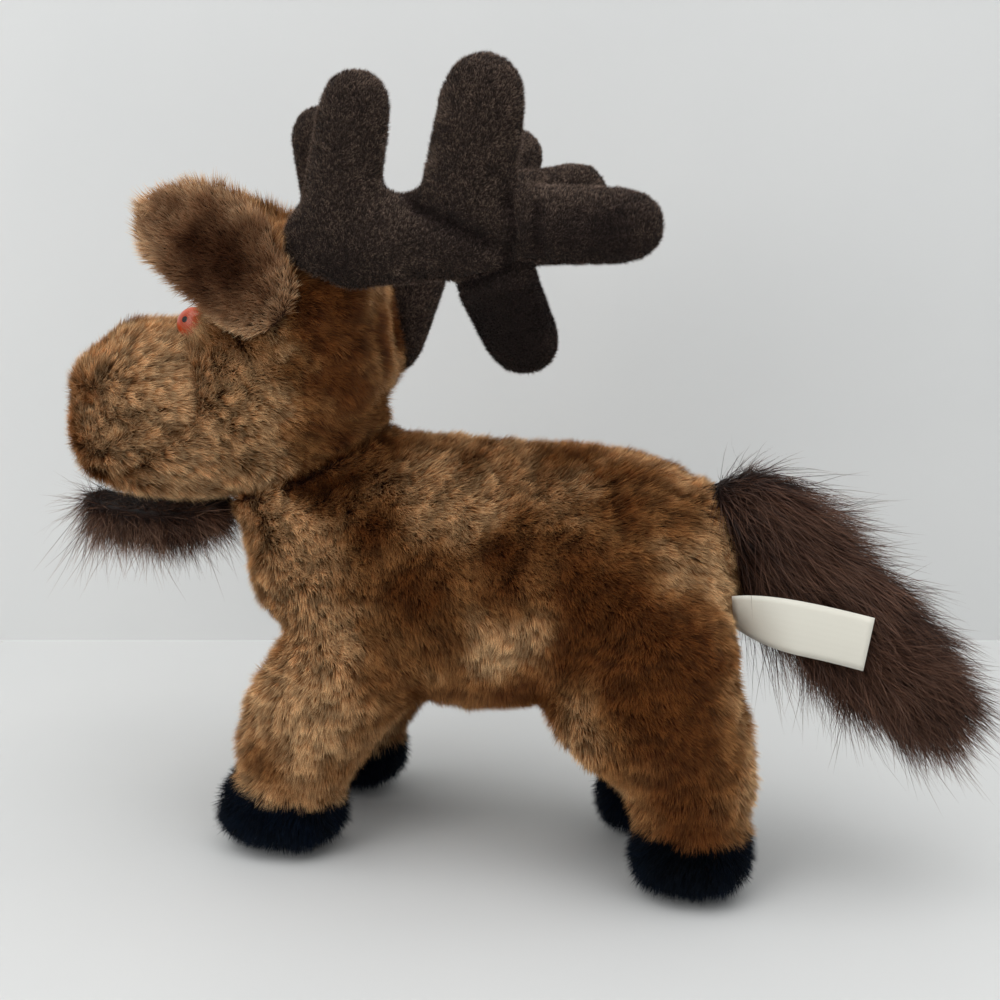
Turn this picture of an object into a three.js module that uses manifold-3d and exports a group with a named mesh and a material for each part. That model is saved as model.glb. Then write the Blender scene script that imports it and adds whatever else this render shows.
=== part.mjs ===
import * as THREE from 'three';
import { mergeVertices } from 'three/addons/utils/BufferGeometryUtils.js';
import Module from 'manifold-3d';

// A plush antlered deer standing on four soft legs, its nose towards -X and +Z up.
// Millimetres. The middle seam lies in the XZ plane and the soles rest on z = 0.

const wasm = await Module();
wasm.setup();

// Seams, walls and cuts that every piece shares

const seamGap = 0.3;
const plushWall = 4;
const fleeceWall = 2.2;
const hairWall = 6;
const soleCut = 0.5;
const cutReach = 600;
const liningShare = 0.6;

// Each swollen form lies in a box of length, height and width. A row of its section shares
// holds: place along the length, underside, top, and half width, as shares of that box.

const torso = {
  length: 142.5,
  height: 78,
  width: 72,
  chestX: -74.5,
  bellyZ: 43,
  squareness: 2.3,
  steps: 12,
  sides: 12,
  sectionShares: [
    [0.00, 0.55, 0.55, 0.00],
    [0.02, 0.32, 0.78, 0.52],
    [0.08, 0.24, 0.90, 0.80],
    [0.19, 0.10, 0.97, 0.94],
    [0.33, 0.02, 1.00, 1.00],
    [0.53, 0.00, 0.97, 0.98],
    [0.74, 0.03, 0.97, 1.00],
    [0.88, 0.12, 0.90, 0.92],
    [0.96, 0.24, 0.77, 0.68],
    [1.00, 0.47, 0.47, 0.00],
  ],
};

const cranium = {
  length: 66,
  height: 87,
  width: 73,
  aheadOfChest: 21,
  aboveBelly: 54,
  squareness: 2.2,
  steps: 10,
  sides: 12,
  sectionShares: [
    [0.000, 0.260, 0.260, 0.00],
    [0.045, 0.080, 0.430, 0.44],
    [0.160, 0.010, 0.665, 0.74],
    [0.340, 0.020, 0.885, 0.93],
    [0.550, 0.075, 0.985, 1.00],
    [0.720, 0.150, 0.990, 0.98],
    [0.870, 0.235, 0.880, 0.80],
    [0.960, 0.370, 0.710, 0.50],
    [1.000, 0.540, 0.540, 0.00],
  ],
};

const muzzle = {
  length: 56,
  height: 56,
  width: 62,
  aheadOfCranium: 30,
  belowCranium: 1,
  squareness: 2.35,
  steps: 9,
  sides: 12,
  sectionShares: [
    [0.00, 0.40, 0.40, 0.00],
    [0.03, 0.18, 0.60, 0.46],
    [0.16, 0.05, 0.79, 0.77],
    [0.35, 0.01, 0.96, 0.95],
    [0.55, 0.00, 1.00, 1.00],
    [0.74, 0.02, 0.93, 0.95],
    [0.90, 0.10, 0.77, 0.74],
    [1.00, 0.44, 0.44, 0.00],
  ],
};

// The head is sewn on turned a little to its left. It nods about the middle of the cranium.

const neck = {
  pivotXShare: 0.56,
  pivotZShare: 0.5,
  turnDegrees: 15,
  noseDownDegrees: 4,
  noseUpDegrees: 8,
  wall: 3,
};

const beard = {
  length: 48,
  height: 23,
  width: 36,
  behindNose: 0,
  belowJaw: 15,
  squareness: 2.2,
  steps: 7,
  sides: 8,
  sectionShares: [
    [0.00, 0.62, 0.62, 0.00],
    [0.05, 0.32, 0.90, 0.50],
    [0.20, 0.10, 1.00, 0.86],
    [0.50, 0.00, 1.00, 1.00],
    [0.80, 0.02, 1.00, 0.94],
    [0.95, 0.25, 0.90, 0.62],
    [1.00, 0.55, 0.55, 0.00],
  ],
};

// A leg's length runs upwards from its hoof and its height runs from front to rear.
// Stride is how far the foot stands ahead of where the pattern puts it.

const foreLeg = {
  length: 75,
  height: 62,
  width: 34,
  ankleZ: 11,
  behindChest: 1.5,
  spread: { left: 21, right: 28 },
  stride: { left: 0, right: -2 },
  squareness: 2.2,
  steps: 8,
  sides: 12,
  sectionShares: [
    [0.00, 0.27, 0.27, 0.00],
    [0.03, 0.10, 0.46, 0.62],
    [0.14, 0.01, 0.58, 0.95],
    [0.33, 0.04, 0.72, 1.00],
    [0.50, 0.14, 0.90, 1.00],
    [0.68, 0.23, 1.00, 0.96],
    [0.88, 0.38, 0.95, 0.76],
    [1.00, 0.66, 0.66, 0.00],
  ],
};

const hindLeg = {
  length: 84,
  height: 61,
  width: 36,
  ankleZ: 14,
  behindChest: 91,
  spread: { left: 21, right: 17 },
  stride: { left: 0, right: 17 },
  squareness: 2.2,
  steps: 8,
  sides: 12,
  sectionShares: [
    [0.00, 0.70, 0.70, 0.00],
    [0.03, 0.50, 0.90, 0.62],
    [0.12, 0.40, 0.99, 0.92],
    [0.24, 0.32, 1.00, 0.96],
    [0.34, 0.08, 0.97, 1.00],
    [0.52, 0.00, 0.92, 1.00],
    [0.72, 0.05, 0.87, 0.90],
    [0.91, 0.24, 0.70, 0.60],
    [1.00, 0.47, 0.47, 0.00],
  ],
};

const hoof = {
  height: 27,
  squareness: 2.6,
  steps: 6,
  sides: 12,
  wall: 5,
  sectionShares: [
    [0.00, 0.42, 0.42, 0.00],
    [0.04, 0.17, 0.72, 0.50],
    [0.18, 0.01, 0.97, 0.84],
    [0.45, 0.00, 1.00, 1.00],
    [0.76, 0.01, 0.90, 0.95],
    [0.95, 0.19, 0.72, 0.58],
    [1.00, 0.42, 0.42, 0.00],
  ],
};

const foreHoof = { ...hoof, length: 42, width: 35, toeAhead: 7 };
const hindHoof = { ...hoof, length: 38, width: 35, toeAhead: -23.5 };

const ear = {
  length: 50,
  height: 34,
  width: 8,
  wall: 2.5,
  rootXShare: 0.56,
  rootZShare: 0.64,
  sunk: 1.5,
  riseDegrees: { left: 38, right: 25 },
  flareDegrees: 3,
  rollDegrees: 6,
  liftDegrees: 45,
  liftSteps: 2,
  antlerClearance: 2.4,
  rootOverhang: 2,
  squareness: 2.2,
  steps: 8,
  sides: 8,
  sectionShares: [
    [0.00, 0.36, 0.36, 0.00],
    [0.03, 0.20, 0.50, 0.60],
    [0.12, 0.06, 0.76, 0.85],
    [0.28, 0.00, 0.92, 0.96],
    [0.50, 0.03, 1.00, 1.00],
    [0.74, 0.03, 0.91, 0.94],
    [0.90, 0.16, 0.73, 0.66],
    [1.00, 0.43, 0.43, 0.00],
  ],
};

// An antler is a flat pattern of a stem and four tines. Its own frame has the stem running
// rearwards, the outer panel's normal sideways and the tines rising. Root shares give where
// a tine starts, along the stem and across it. The fold turns a tine about the stem, and the
// slump moves its root forwards where the cloth has given way.

const antler = {
  thickness: 15,
  baseXShare: 0.76,
  baseZShare: 0.82,
  baseY: 31,
  leanOutDegrees: 8,
  leanInDegrees: 6,
  leanSteps: 7,
  squareness: 2.3,
  steps: 7,
  sides: 8,
  tipShare: 0.9,
  endTurnDegrees: [0, 25, 55, 90],
  stem: { length: 62, width: 28, headingDegrees: 3, rootAhead: 14, rootRise: 4.5 },
};

const tines = {
  front: {
    rootShares: [0.21, -0.15],
    length: 50,
    width: 21.5,
    headingDegrees: { left: 78, right: 90 },
    foldDegrees: { left: 0, right: 0 },
    slump: { left: 0, right: -4 },
  },
  middle: {
    rootShares: [0.76, 0],
    length: 49.5,
    width: 26,
    headingDegrees: { left: 79, right: 44 },
    foldDegrees: { left: 0, right: 30 },
    slump: { left: 0, right: 0 },
  },
  back: {
    rootShares: [0.88, 0.18],
    length: 46,
    width: 22.5,
    headingDegrees: { left: 0, right: 2 },
    foldDegrees: { left: 0, right: 0 },
    slump: { left: 0, right: 0 },
  },
  lower: {
    rootShares: [0.84, 0.05],
    length: 45,
    width: 24,
    headingDegrees: { left: -74, right: -118 },
    foldDegrees: { left: 24, right: 10 },
    slump: { left: 0, right: 11 },
  },
};

const antlerPose = {
  left: { leanDegrees: 8, splayDegrees: 8, pitchDegrees: 0, ahead: 0, drop: 0 },
  right: { leanDegrees: 12, splayDegrees: 8, pitchDegrees: 9.5, ahead: 5.5, drop: 7 },
};

const tail = {
  length: 100,
  height: 41,
  width: 27,
  rootInRump: 13,
  rootAboveBelly: 65.5,
  sleeveOverhang: 12,
  sagDegrees: 43,
  underShare: 0.44,
  liftDegrees: 35,
  squareness: 2.1,
  steps: 10,
  sides: 10,
  sectionShares: [
    [0.00, 0.63, 0.63, 0.00],
    [0.04, 0.44, 0.90, 0.55],
    [0.12, 0.30, 0.98, 0.84],
    [0.25, 0.18, 0.98, 0.94],
    [0.45, 0.02, 0.98, 1.00],
    [0.65, 0.00, 1.00, 1.00],
    [0.82, 0.10, 0.90, 0.86],
    [0.94, 0.25, 0.77, 0.55],
    [1.00, 0.50, 0.50, 0.00],
  ],
};

const ribbon = {
  width: 14.5,
  thickness: 0.9,
  rootY: 11,
  rootAboveBelly: 24.5,
  droopDegrees: 6,
  swingDegrees: 30,
  length: 37,
  steps: 8,
  bendShare: 0.3,
  clearance: 2.6,
};

const eye = {
  radius: 4.5,
  dome: 3.4,
  rim: 1,
  shankRadius: 1.5,
  shankLength: 8,
  sides: 10,
  xShare: 0.125,
  zShare: 0.625,
  y: 17,
  domeTurns: [35, 65],
  forwardShare: 0.45,
  outwardShare: 0.8,
  upwardShare: 0.4,
  washerRadius: 5.5,
  washerThickness: 1.2,
  washerDepth: 4.6,
};

// Finishes

function cloth(color, roughness = 1) {
  return new THREE.MeshStandardMaterial({ color, roughness, metalness: 0 });
}

const finishes = {
  plush: () => cloth(0x85603c),
  shornPlush: () => cloth(0x5c3a24),
  hoofPlush: () => cloth(0x0a0f16),
  fleece: () => cloth(0x34271f),
  hair: () => cloth(0x4b3228),
  ribbon: () => cloth(0xe3e0da, 0.45),
  filling: () => cloth(0xf2f0ea),
  amber: () => cloth(0x8c3418, 0.1),
  nylon: () => cloth(0xeeeeee, 0.5),
};

// Solids from meshes

function enclosedVolume(geometry) {
  const position = geometry.attributes.position;
  const index = geometry.index.array;
  const [a, b, c] = [new THREE.Vector3(), new THREE.Vector3(), new THREE.Vector3()];
  let volume = 0;
  for (let corner = 0; corner < index.length; corner += 3) {
    a.fromBufferAttribute(position, index[corner]);
    b.fromBufferAttribute(position, index[corner + 1]);
    c.fromBufferAttribute(position, index[corner + 2]);
    volume += a.dot(b.cross(c));
  }
  return volume;
}

function turnedOutwards(geometry) {
  if (enclosedVolume(geometry) < 0) {
    const index = geometry.index.array;
    for (let corner = 0; corner < index.length; corner += 3) {
      [index[corner + 1], index[corner + 2]] = [index[corner + 2], index[corner + 1]];
    }
  }
  return geometry;
}

function solid(geometry) {
  const bare = geometry.clone();
  bare.deleteAttribute('normal');
  bare.deleteAttribute('uv');
  const closed = turnedOutwards(mergeVertices(bare));
  return new wasm.Manifold(new wasm.Mesh({
    numProp: 3,
    vertProperties: new Float32Array(closed.attributes.position.array),
    triVerts: new Uint32Array(closed.index.array),
  }));
}

function joined(solids) {
  return solids.reduce((whole, next) => whole.add(next));
}

function without(piece, solids) {
  return solids.reduce((rest, next) => rest.subtract(next), piece);
}

// Swollen forms

const radians = THREE.MathUtils.degToRad;
const forward = new THREE.Vector3(-1, 0, 0);
const rearward = new THREE.Vector3(1, 0, 0);
const sideways = new THREE.Vector3(0, 1, 0);
const upward = new THREE.Vector3(0, 0, 1);

function frameAt(along, side, rise, x, y, z) {
  return new THREE.Matrix4().makeBasis(along, side, rise).setPosition(x, y, z);
}

function rounded(value, squareness) {
  return Math.sign(value) * Math.abs(value) ** (2 / squareness);
}

// What scales a form into the box that lies an inset inside its own
function shrink(size, inset) {
  return (size - 2 * inset) / size;
}

// A swollen form in its place; a positive inset gives its lining, in fewer faces
function swell(form, place, inset = 0) {
  const rows = form.sectionShares;
  const steps = inset > 0 ? Math.round(form.steps * liningShare) : form.steps;
  const sides = inset > 0 ? Math.round(form.sides * liningShare) : form.sides;
  const heights = new THREE.CatmullRomCurve3(rows.map(([s, low, high]) => new THREE.Vector3(s, low, high)));
  const girths = new THREE.CatmullRomCurve3(rows.map(([s, , , half]) => new THREE.Vector3(s, half, 0)));
  const points = [];
  for (let step = 0; step <= steps; step += 1) {
    const { x: share, y: low, z: high } = heights.getPoint(step / steps);
    const girth = Math.max(girths.getPoint(step / steps).y, 0);
    const pole = step === 0 || step === steps;
    for (let side = 0; side < (pole ? 1 : sides); side += 1) {
      const angle = (side / sides) * 2 * Math.PI;
      const across = pole ? 0 : rounded(Math.cos(angle), form.squareness) * girth;
      const rise = pole ? 0 : rounded(Math.sin(angle), form.squareness) * (high - low);
      points.push(
        share * form.length,
        (across * form.width) / 2,
        ((low + high + rise) * form.height) / 2,
      );
    }
  }
  const geometry = new THREE.BufferGeometry();
  geometry.setAttribute('position', new THREE.Float32BufferAttribute(points, 3));
  geometry.setIndex(ringFaces(steps, sides));
  const middle = [form.length / 2, 0, form.height / 2];
  geometry.translate(-middle[0], -middle[1], -middle[2]);
  geometry.scale(shrink(form.length, inset), shrink(form.width, inset), shrink(form.height, inset));
  geometry.translate(...middle);
  return geometry.applyMatrix4(place);
}

// Triangles of a stack of rings between two poles
function ringFaces(steps, sides) {
  const faces = [];
  const last = 1 + (steps - 1) * sides;
  for (let side = 0; side < sides; side += 1) {
    const next = (side + 1) % sides;
    faces.push(0, 1 + next, 1 + side);
    for (let ring = 0; ring < steps - 2; ring += 1) {
      const near = 1 + ring * sides;
      const far = near + sides;
      faces.push(near + side, near + next, far + next);
      faces.push(near + side, far + next, far + side);
    }
    faces.push(last, last - sides + side, last - sides + next);
  }
  return faces;
}

// The half of space on one side of a frame's seam plane
function halfSpace(place, direction) {
  const block = new THREE.BoxGeometry(cutReach, cutReach, cutReach);
  block.translate(0, (direction * (cutReach + seamGap)) / 2, 0);
  return solid(block.applyMatrix4(place));
}

// A geometry turned about a hinge
function swung(geometry, hinge, degrees) {
  const turn = new THREE.Matrix4().makeTranslation(hinge.point)
    .multiply(new THREE.Matrix4().makeRotationAxis(hinge.axis, radians(degrees)))
    .multiply(new THREE.Matrix4().makeTranslation(hinge.point.clone().negate()));
  return geometry.clone().applyMatrix4(turn);
}

function swungSolids(geometries, hinge, angles) {
  return angles.flatMap((angle) => geometries.map((geometry) => solid(swung(geometry, hinge, angle))));
}

// Sides of the toy: its left is on -Y

const sideSigns = { left: -1, right: 1 };
const sideNames = Object.keys(sideSigns);
const middlePlane = new THREE.Matrix4();

// Torso, legs and hooves, whose linings open into each other

const torsoPlace = frameAt(rearward, sideways, upward, torso.chestX, 0, torso.bellyZ);
const rumpX = torso.chestX + torso.length;

const limbs = ['fore', 'hind'].flatMap((end) => sideNames.map((side) => {
  const leg = end === 'fore' ? foreLeg : hindLeg;
  const foot = end === 'fore' ? foreHoof : hindHoof;
  const sign = sideSigns[side];
  const frontX = torso.chestX + leg.behindChest;
  const upright = frameAt(upward, sideways, rearward, frontX, sign * leg.spread[side], leg.ankleZ);
  const slant = new THREE.Matrix4().set(
    1, 0, leg.stride[side] / leg.length, -leg.stride[side] * (1 + leg.ankleZ / leg.length),
    0, 1, 0, 0,
    0, 0, 1, 0,
    0, 0, 0, 1,
  );
  const toeX = frontX - foot.toeAhead - leg.stride[side];
  const footPlace = frameAt(rearward, sideways, upward, toeX, sign * leg.spread[side], -soleCut);
  return { end, side, leg, foot, place: slant.multiply(upright), footPlace };
}));

function legForm(limb, inset) {
  return solid(swell(limb.leg, limb.place, inset));
}

function hoofForm(limb, inset) {
  return solid(swell(limb.foot, limb.footPlace, inset));
}

function limbLining(limb, inset) {
  return legForm(limb, inset).add(hoofForm(limb, inset + limb.foot.wall - plushWall));
}

// Head: cranium and muzzle

const craniumX = torso.chestX - cranium.aheadOfChest;
const craniumZ = torso.bellyZ + cranium.aboveBelly;
const muzzleX = craniumX - muzzle.aheadOfCranium;
const muzzleZ = craniumZ - muzzle.belowCranium;

function craniumAt(xShare, y, zShare) {
  return new THREE.Vector3(craniumX + xShare * cranium.length, y, craniumZ + zShare * cranium.height);
}

const neckPoint = craniumAt(neck.pivotXShare, 0, neck.pivotZShare);
const headTurn = new THREE.Matrix4().makeTranslation(neckPoint)
  .multiply(new THREE.Matrix4().makeRotationZ(radians(neck.turnDegrees)))
  .multiply(new THREE.Matrix4().makeTranslation(neckPoint.clone().negate()));

// A frame that turns with the head
function onHead(along, side, rise, point) {
  return headTurn.clone().multiply(frameAt(along, side, rise, ...point));
}

const headPlace = onHead(rearward, sideways, upward, [0, 0, 0]);
const craniumPlace = onHead(rearward, sideways, upward, [craniumX, 0, craniumZ]);
const muzzlePlace = onHead(rearward, sideways, upward, [muzzleX, 0, muzzleZ]);

const nod = {
  point: neckPoint,
  axis: sideways.clone().applyAxisAngle(upward, radians(neck.turnDegrees)),
};
const nodAngles = [-neck.noseDownDegrees, 0, neck.noseUpDegrees];

function headForms(inset) {
  return [swell(cranium, craniumPlace, inset), swell(muzzle, muzzlePlace, inset)];
}

function headLining(inset) {
  return joined(headForms(inset).map(solid));
}

const headSwing = swungSolids(headForms(-seamGap), nod, nodAngles);

// Eyes on their shanks, and the washers that lock them from inside

function eyePlace(side) {
  const sign = sideSigns[side];
  const { forwardShare, outwardShare, upwardShare } = eye;
  const out = new THREE.Vector3(-forwardShare, sign * outwardShare, upwardShare).normalize();
  const across = new THREE.Vector3().crossVectors(upward, out).normalize();
  const top = new THREE.Vector3().crossVectors(out, across);
  return onHead(across, out, top, craniumAt(eye.xShare, sign * eye.y, eye.zShare));
}

function turnedForm(profile, place) {
  const outline = profile.map(([radius, height]) => new THREE.Vector2(radius, height));
  return solid(new THREE.LatheGeometry(outline, eye.sides).applyMatrix4(place));
}

function eyeForm(side, gap) {
  const { radius, dome, rim, shankRadius, shankLength, domeTurns } = eye;
  const profile = [
    [0, -shankLength - gap],
    [shankRadius + gap, -shankLength - gap],
    [shankRadius + gap, -gap],
    [radius + gap, -gap],
    [radius + gap, rim],
    ...domeTurns.map((turn) => [
      radius * Math.cos(radians(turn)) + gap,
      rim + dome * Math.sin(radians(turn)) + gap,
    ]),
    [0, rim + dome + gap],
  ];
  return turnedForm(profile, eyePlace(side));
}

function washerForm(side, gap) {
  const { washerRadius, washerThickness, washerDepth, shankRadius } = eye;
  const bore = gap > 0 ? 0 : shankRadius + seamGap;
  const low = -washerDepth - washerThickness - gap;
  const high = -washerDepth + gap;
  const profile = [[bore, low], [washerRadius + gap, low], [washerRadius + gap, high], [bore, high]];
  return turnedForm(bore > 0 ? [...profile, profile[0]] : profile, eyePlace(side));
}

const eyeRoom = sideNames.flatMap((side) => [eyeForm(side, seamGap), washerForm(side, seamGap)]);

// Antlers

function antlerFrame(side) {
  const pose = antlerPose[side];
  const sign = sideSigns[side];
  const base = craniumAt(antler.baseXShare, sign * antler.baseY, antler.baseZShare);
  base.x -= pose.ahead;
  base.z -= pose.drop;
  return onHead(rearward, sideways.clone().multiplyScalar(sign), upward, base)
    .multiply(new THREE.Matrix4().makeRotationZ(radians(pose.splayDegrees)))
    .multiply(new THREE.Matrix4().makeRotationX(-radians(pose.leanDegrees)))
    .multiply(new THREE.Matrix4().makeRotationY(-radians(pose.pitchDegrees)));
}

// Section shares of a pad with round ends, as wide at its root as the box and less at its tip
function padShares(pad) {
  const endShare = pad.width / 2 / pad.length;
  const end = antler.endTurnDegrees.map((turn) => ({
    inShare: endShare * (1 - Math.cos(radians(turn))),
    sizeShare: Math.sin(radians(turn)),
  }));
  const root = end.map(({ inShare, sizeShare }) => [inShare, sizeShare]);
  const tip = end.map(({ inShare, sizeShare }) => (
    [1 - antler.tipShare * inShare, antler.tipShare * sizeShare])).reverse();
  return [...root, ...tip].map(([share, size]) => [share, (1 - size) / 2, (1 + size) / 2, size]);
}

function antlerPads(side) {
  const { stem, thickness, steps, sides, squareness } = antler;
  const stemPad = { ...stem, rootU: -stem.rootAhead, rootV: stem.rootRise, turn: stem.headingDegrees, fold: 0 };
  const tinePads = Object.values(tines).map((tine) => ({
    length: tine.length,
    width: tine.width,
    rootU: tine.rootShares[0] * stem.length - stem.rootAhead - tine.slump[side],
    rootV: tine.rootShares[1] * stem.width + stem.rootRise,
    turn: tine.headingDegrees[side],
    fold: tine.foldDegrees[side],
  }));
  return [stemPad, ...tinePads].map((pad) => ({
    form: {
      length: pad.length,
      height: pad.width,
      width: thickness,
      squareness,
      steps,
      sides,
      sectionShares: padShares(pad),
    },
    place: antlerFrame(side)
      .multiply(new THREE.Matrix4().makeTranslation(pad.rootU, 0, pad.rootV))
      .multiply(new THREE.Matrix4().makeRotationX(-radians(pad.fold)))
      .multiply(new THREE.Matrix4().makeRotationY(-radians(pad.turn)))
      .multiply(new THREE.Matrix4().makeTranslation(0, 0, -pad.width / 2)),
  }));
}

function antlerForms(side, inset) {
  return antlerPads(side).map(({ form, place }) => swell(form, place, inset));
}

function antlerForm(side, inset) {
  return joined(antlerForms(side, inset).map(solid));
}

function antlerHalf(side, direction, inset) {
  return joined(antlerPads(side).map(({ form, place }) => (
    solid(swell(form, place, inset)).intersect(halfSpace(place, direction)))));
}

function antlerHinge(side) {
  const frame = antlerFrame(side);
  return {
    point: new THREE.Vector3().setFromMatrixPosition(frame),
    axis: new THREE.Vector3().setFromMatrixColumn(frame, 0).multiplyScalar(-sideSigns[side]),
  };
}

// Ears

function earFrame(side) {
  const sign = sideSigns[side];
  const root = craniumAt(ear.rootXShare, sign * (cranium.width / 2 - ear.sunk), ear.rootZShare);
  return onHead(forward, sideways.clone().multiplyScalar(sign), upward, root)
    .multiply(new THREE.Matrix4().makeRotationZ(radians(ear.flareDegrees)))
    .multiply(new THREE.Matrix4().makeRotationY(-radians(ear.riseDegrees[side])))
    .multiply(new THREE.Matrix4().makeRotationX(-radians(ear.rollDegrees)));
}

function earPlace(side) {
  const rootRise = ear.sectionShares[0][1] * ear.height;
  return earFrame(side).multiply(new THREE.Matrix4().makeTranslation(-ear.rootOverhang, 0, -rootRise));
}

function earHinge(side) {
  const frame = earFrame(side);
  return {
    point: new THREE.Vector3().setFromMatrixPosition(frame),
    axis: new THREE.Vector3().setFromMatrixColumn(frame, 2).multiplyScalar(-sideSigns[side]),
  };
}

// Tail and its hinge at the rump

const tailHinge = {
  point: new THREE.Vector3(rumpX - tail.rootInRump, 0, torso.bellyZ + tail.rootAboveBelly),
  axis: sideways.clone().negate(),
};
const tailPlace = new THREE.Matrix4().makeTranslation(tailHinge.point)
  .multiply(new THREE.Matrix4().makeRotationY(radians(tail.sagDegrees)))
  .multiply(new THREE.Matrix4().makeTranslation(0, 0, -tail.underShare * tail.height));

// Ribbon label, a folded strip whose path leaves the rump and runs back beside the tail

function ribbonPath() {
  const rootX = rumpX + seamGap - ribbon.thickness;
  const besideTail = tail.width / 2 + ribbon.clearance;
  return new THREE.CatmullRomCurve3([
    new THREE.Vector3(rootX, -ribbon.rootY, 0),
    new THREE.Vector3(rootX + ribbon.bendShare * ribbon.length, -besideTail, 0),
    new THREE.Vector3(rootX + 2 * ribbon.bendShare * ribbon.length, -besideTail - ribbon.thickness, 0),
    new THREE.Vector3(rootX + ribbon.length, -besideTail, 0),
  ]);
}

function ribbonSolid() {
  const path = ribbonPath();
  const outline = [];
  for (const direction of [1, -1]) {
    for (let step = 0; step <= ribbon.steps; step += 1) {
      const share = direction > 0 ? step / ribbon.steps : 1 - step / ribbon.steps;
      const point = path.getPoint(share);
      const tangent = path.getTangent(share);
      const offset = (direction * ribbon.thickness) / 2;
      outline.push(new THREE.Vector2(point.x - tangent.y * offset, point.y + tangent.x * offset));
    }
  }
  const strip = new THREE.ExtrudeGeometry(new THREE.Shape(outline), {
    depth: ribbon.width,
    bevelEnabled: false,
  });
  const root = path.getPoint(0);
  strip.translate(-root.x, -root.y, 0);
  strip.rotateY(radians(ribbon.droopDegrees));
  strip.translate(root.x, root.y, torso.bellyZ + ribbon.rootAboveBelly);
  return solid(strip);
}

// Assembly

const toy = new THREE.Group();

function add(name, piece, finish) {
  const { vertProperties, triVerts } = piece.getMesh();
  const geometry = new THREE.BufferGeometry();
  geometry.setAttribute('position', new THREE.BufferAttribute(vertProperties, 3));
  geometry.setIndex(new THREE.BufferAttribute(triVerts, 1));
  const mesh = new THREE.Mesh(geometry, finishes[finish]());
  mesh.name = name;
  toy.add(mesh);
}

function addTorso() {
  const neckRoom = headForms(-neck.wall).map(solid);
  const lining = without(solid(swell(torso, torsoPlace, plushWall)), neckRoom);
  const fill = without(solid(swell(torso, torsoPlace, plushWall + seamGap)), neckRoom);
  const legLinings = limbs.map((limb) => limbLining(limb, plushWall));
  const legFills = limbs.map((limb) => limbLining(limb, plushWall + seamGap));
  const shell = without(solid(swell(torso, torsoPlace)), [lining, ...legLinings, ...headSwing]);
  for (const side of sideNames) {
    add(`torso_cover_${side}`, shell.intersect(halfSpace(middlePlane, sideSigns[side])), 'plush');
  }
  add('body_stuffing', joined([fill, ...legFills]), 'filling');
}

function addLegs() {
  const torsoRoom = solid(swell(torso, torsoPlace, -seamGap));
  const ground = new THREE.BoxGeometry(cutReach, cutReach, cutReach).translate(0, 0, -cutReach / 2);
  for (const limb of limbs) {
    const lining = limbLining(limb, plushWall);
    add(`${limb.end}leg_cover_${limb.side}`, without(legForm(limb, 0), [torsoRoom, lining]), 'plush');
    const cuts = [legForm(limb, -seamGap), lining, solid(ground)];
    add(`${limb.end}hoof_${limb.side}`, without(hoofForm(limb, 0), cuts), 'hoofPlush');
  }
}

function addHead() {
  const lining = headLining(plushWall);
  const [craniumSkin, muzzleSkin] = headForms(0).map(solid);
  const skull = without(craniumSkin, [lining, ...eyeRoom]);
  for (const side of sideNames) {
    add(`head_cover_${side}`, skull.intersect(halfSpace(headPlace, sideSigns[side])), 'plush');
  }
  const craniumRoom = solid(swell(cranium, craniumPlace, -seamGap));
  add('muzzle_cover', without(muzzleSkin, [craniumRoom, lining, ...eyeRoom]), 'plush');
  add('head_stuffing', without(headLining(plushWall + seamGap), eyeRoom), 'filling');
  for (const side of sideNames) {
    add(`eye_${side}`, eyeForm(side, 0), 'amber');
    add(`eye_washer_${side}`, washerForm(side, 0), 'nylon');
  }
}

function addBeard() {
  const corner = [muzzleX + beard.behindNose, 0, muzzleZ - beard.belowJaw];
  const place = onHead(rearward, sideways, upward, corner);
  const chestAngles = nodAngles.map((angle) => -angle);
  const chest = swungSolids([swell(torso, torsoPlace, -seamGap)], nod, chestAngles);
  const jaw = headForms(-seamGap).map(solid);
  add('beard', without(solid(swell(beard, place)), [...jaw, ...chest]), 'hair');
}

function addAntlers() {
  const angles = [-antler.leanOutDegrees, 0, antler.leanInDegrees];
  for (const side of sideNames) {
    const headRoom = swungSolids(headForms(-seamGap), antlerHinge(side), angles);
    const lining = antlerForm(side, fleeceWall);
    const outer = antlerHalf(side, 1, 0);
    const outerRoom = antlerHalf(side, 1, -seamGap);
    const inner = antlerHalf(side, -1, 0);
    add(`antler_outer_panel_${side}`, without(outer, [lining, ...headRoom]), 'fleece');
    add(`antler_inner_panel_${side}`, without(inner, [outerRoom, lining, ...headRoom]), 'fleece');
    add(`antler_stuffing_${side}`, without(antlerForm(side, fleeceWall + seamGap), headRoom), 'filling');
  }
}

function addEars() {
  const lifts = [];
  for (let step = 0; step <= ear.liftSteps; step += 1) {
    lifts.push((-step / ear.liftSteps) * ear.liftDegrees);
  }
  const leanRange = antler.leanInDegrees + antler.leanOutDegrees;
  const leans = [];
  for (let step = 0; step <= antler.leanSteps; step += 1) {
    leans.push((step / antler.leanSteps) * leanRange - antler.leanInDegrees);
  }
  for (const side of sideNames) {
    const place = earPlace(side);
    const headRoom = swungSolids(headForms(-seamGap), earHinge(side), lifts);
    const antlerRoom = swungSolids(antlerForms(side, -ear.antlerClearance), antlerHinge(side), leans);
    const leaf = without(solid(swell(ear, place)), [...headRoom, ...antlerRoom]);
    add(`ear_front_${side}`, leaf.intersect(halfSpace(place, 1)), 'shornPlush');
    add(`ear_back_${side}`, leaf.intersect(halfSpace(place, -1)), 'plush');
  }
}

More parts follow.
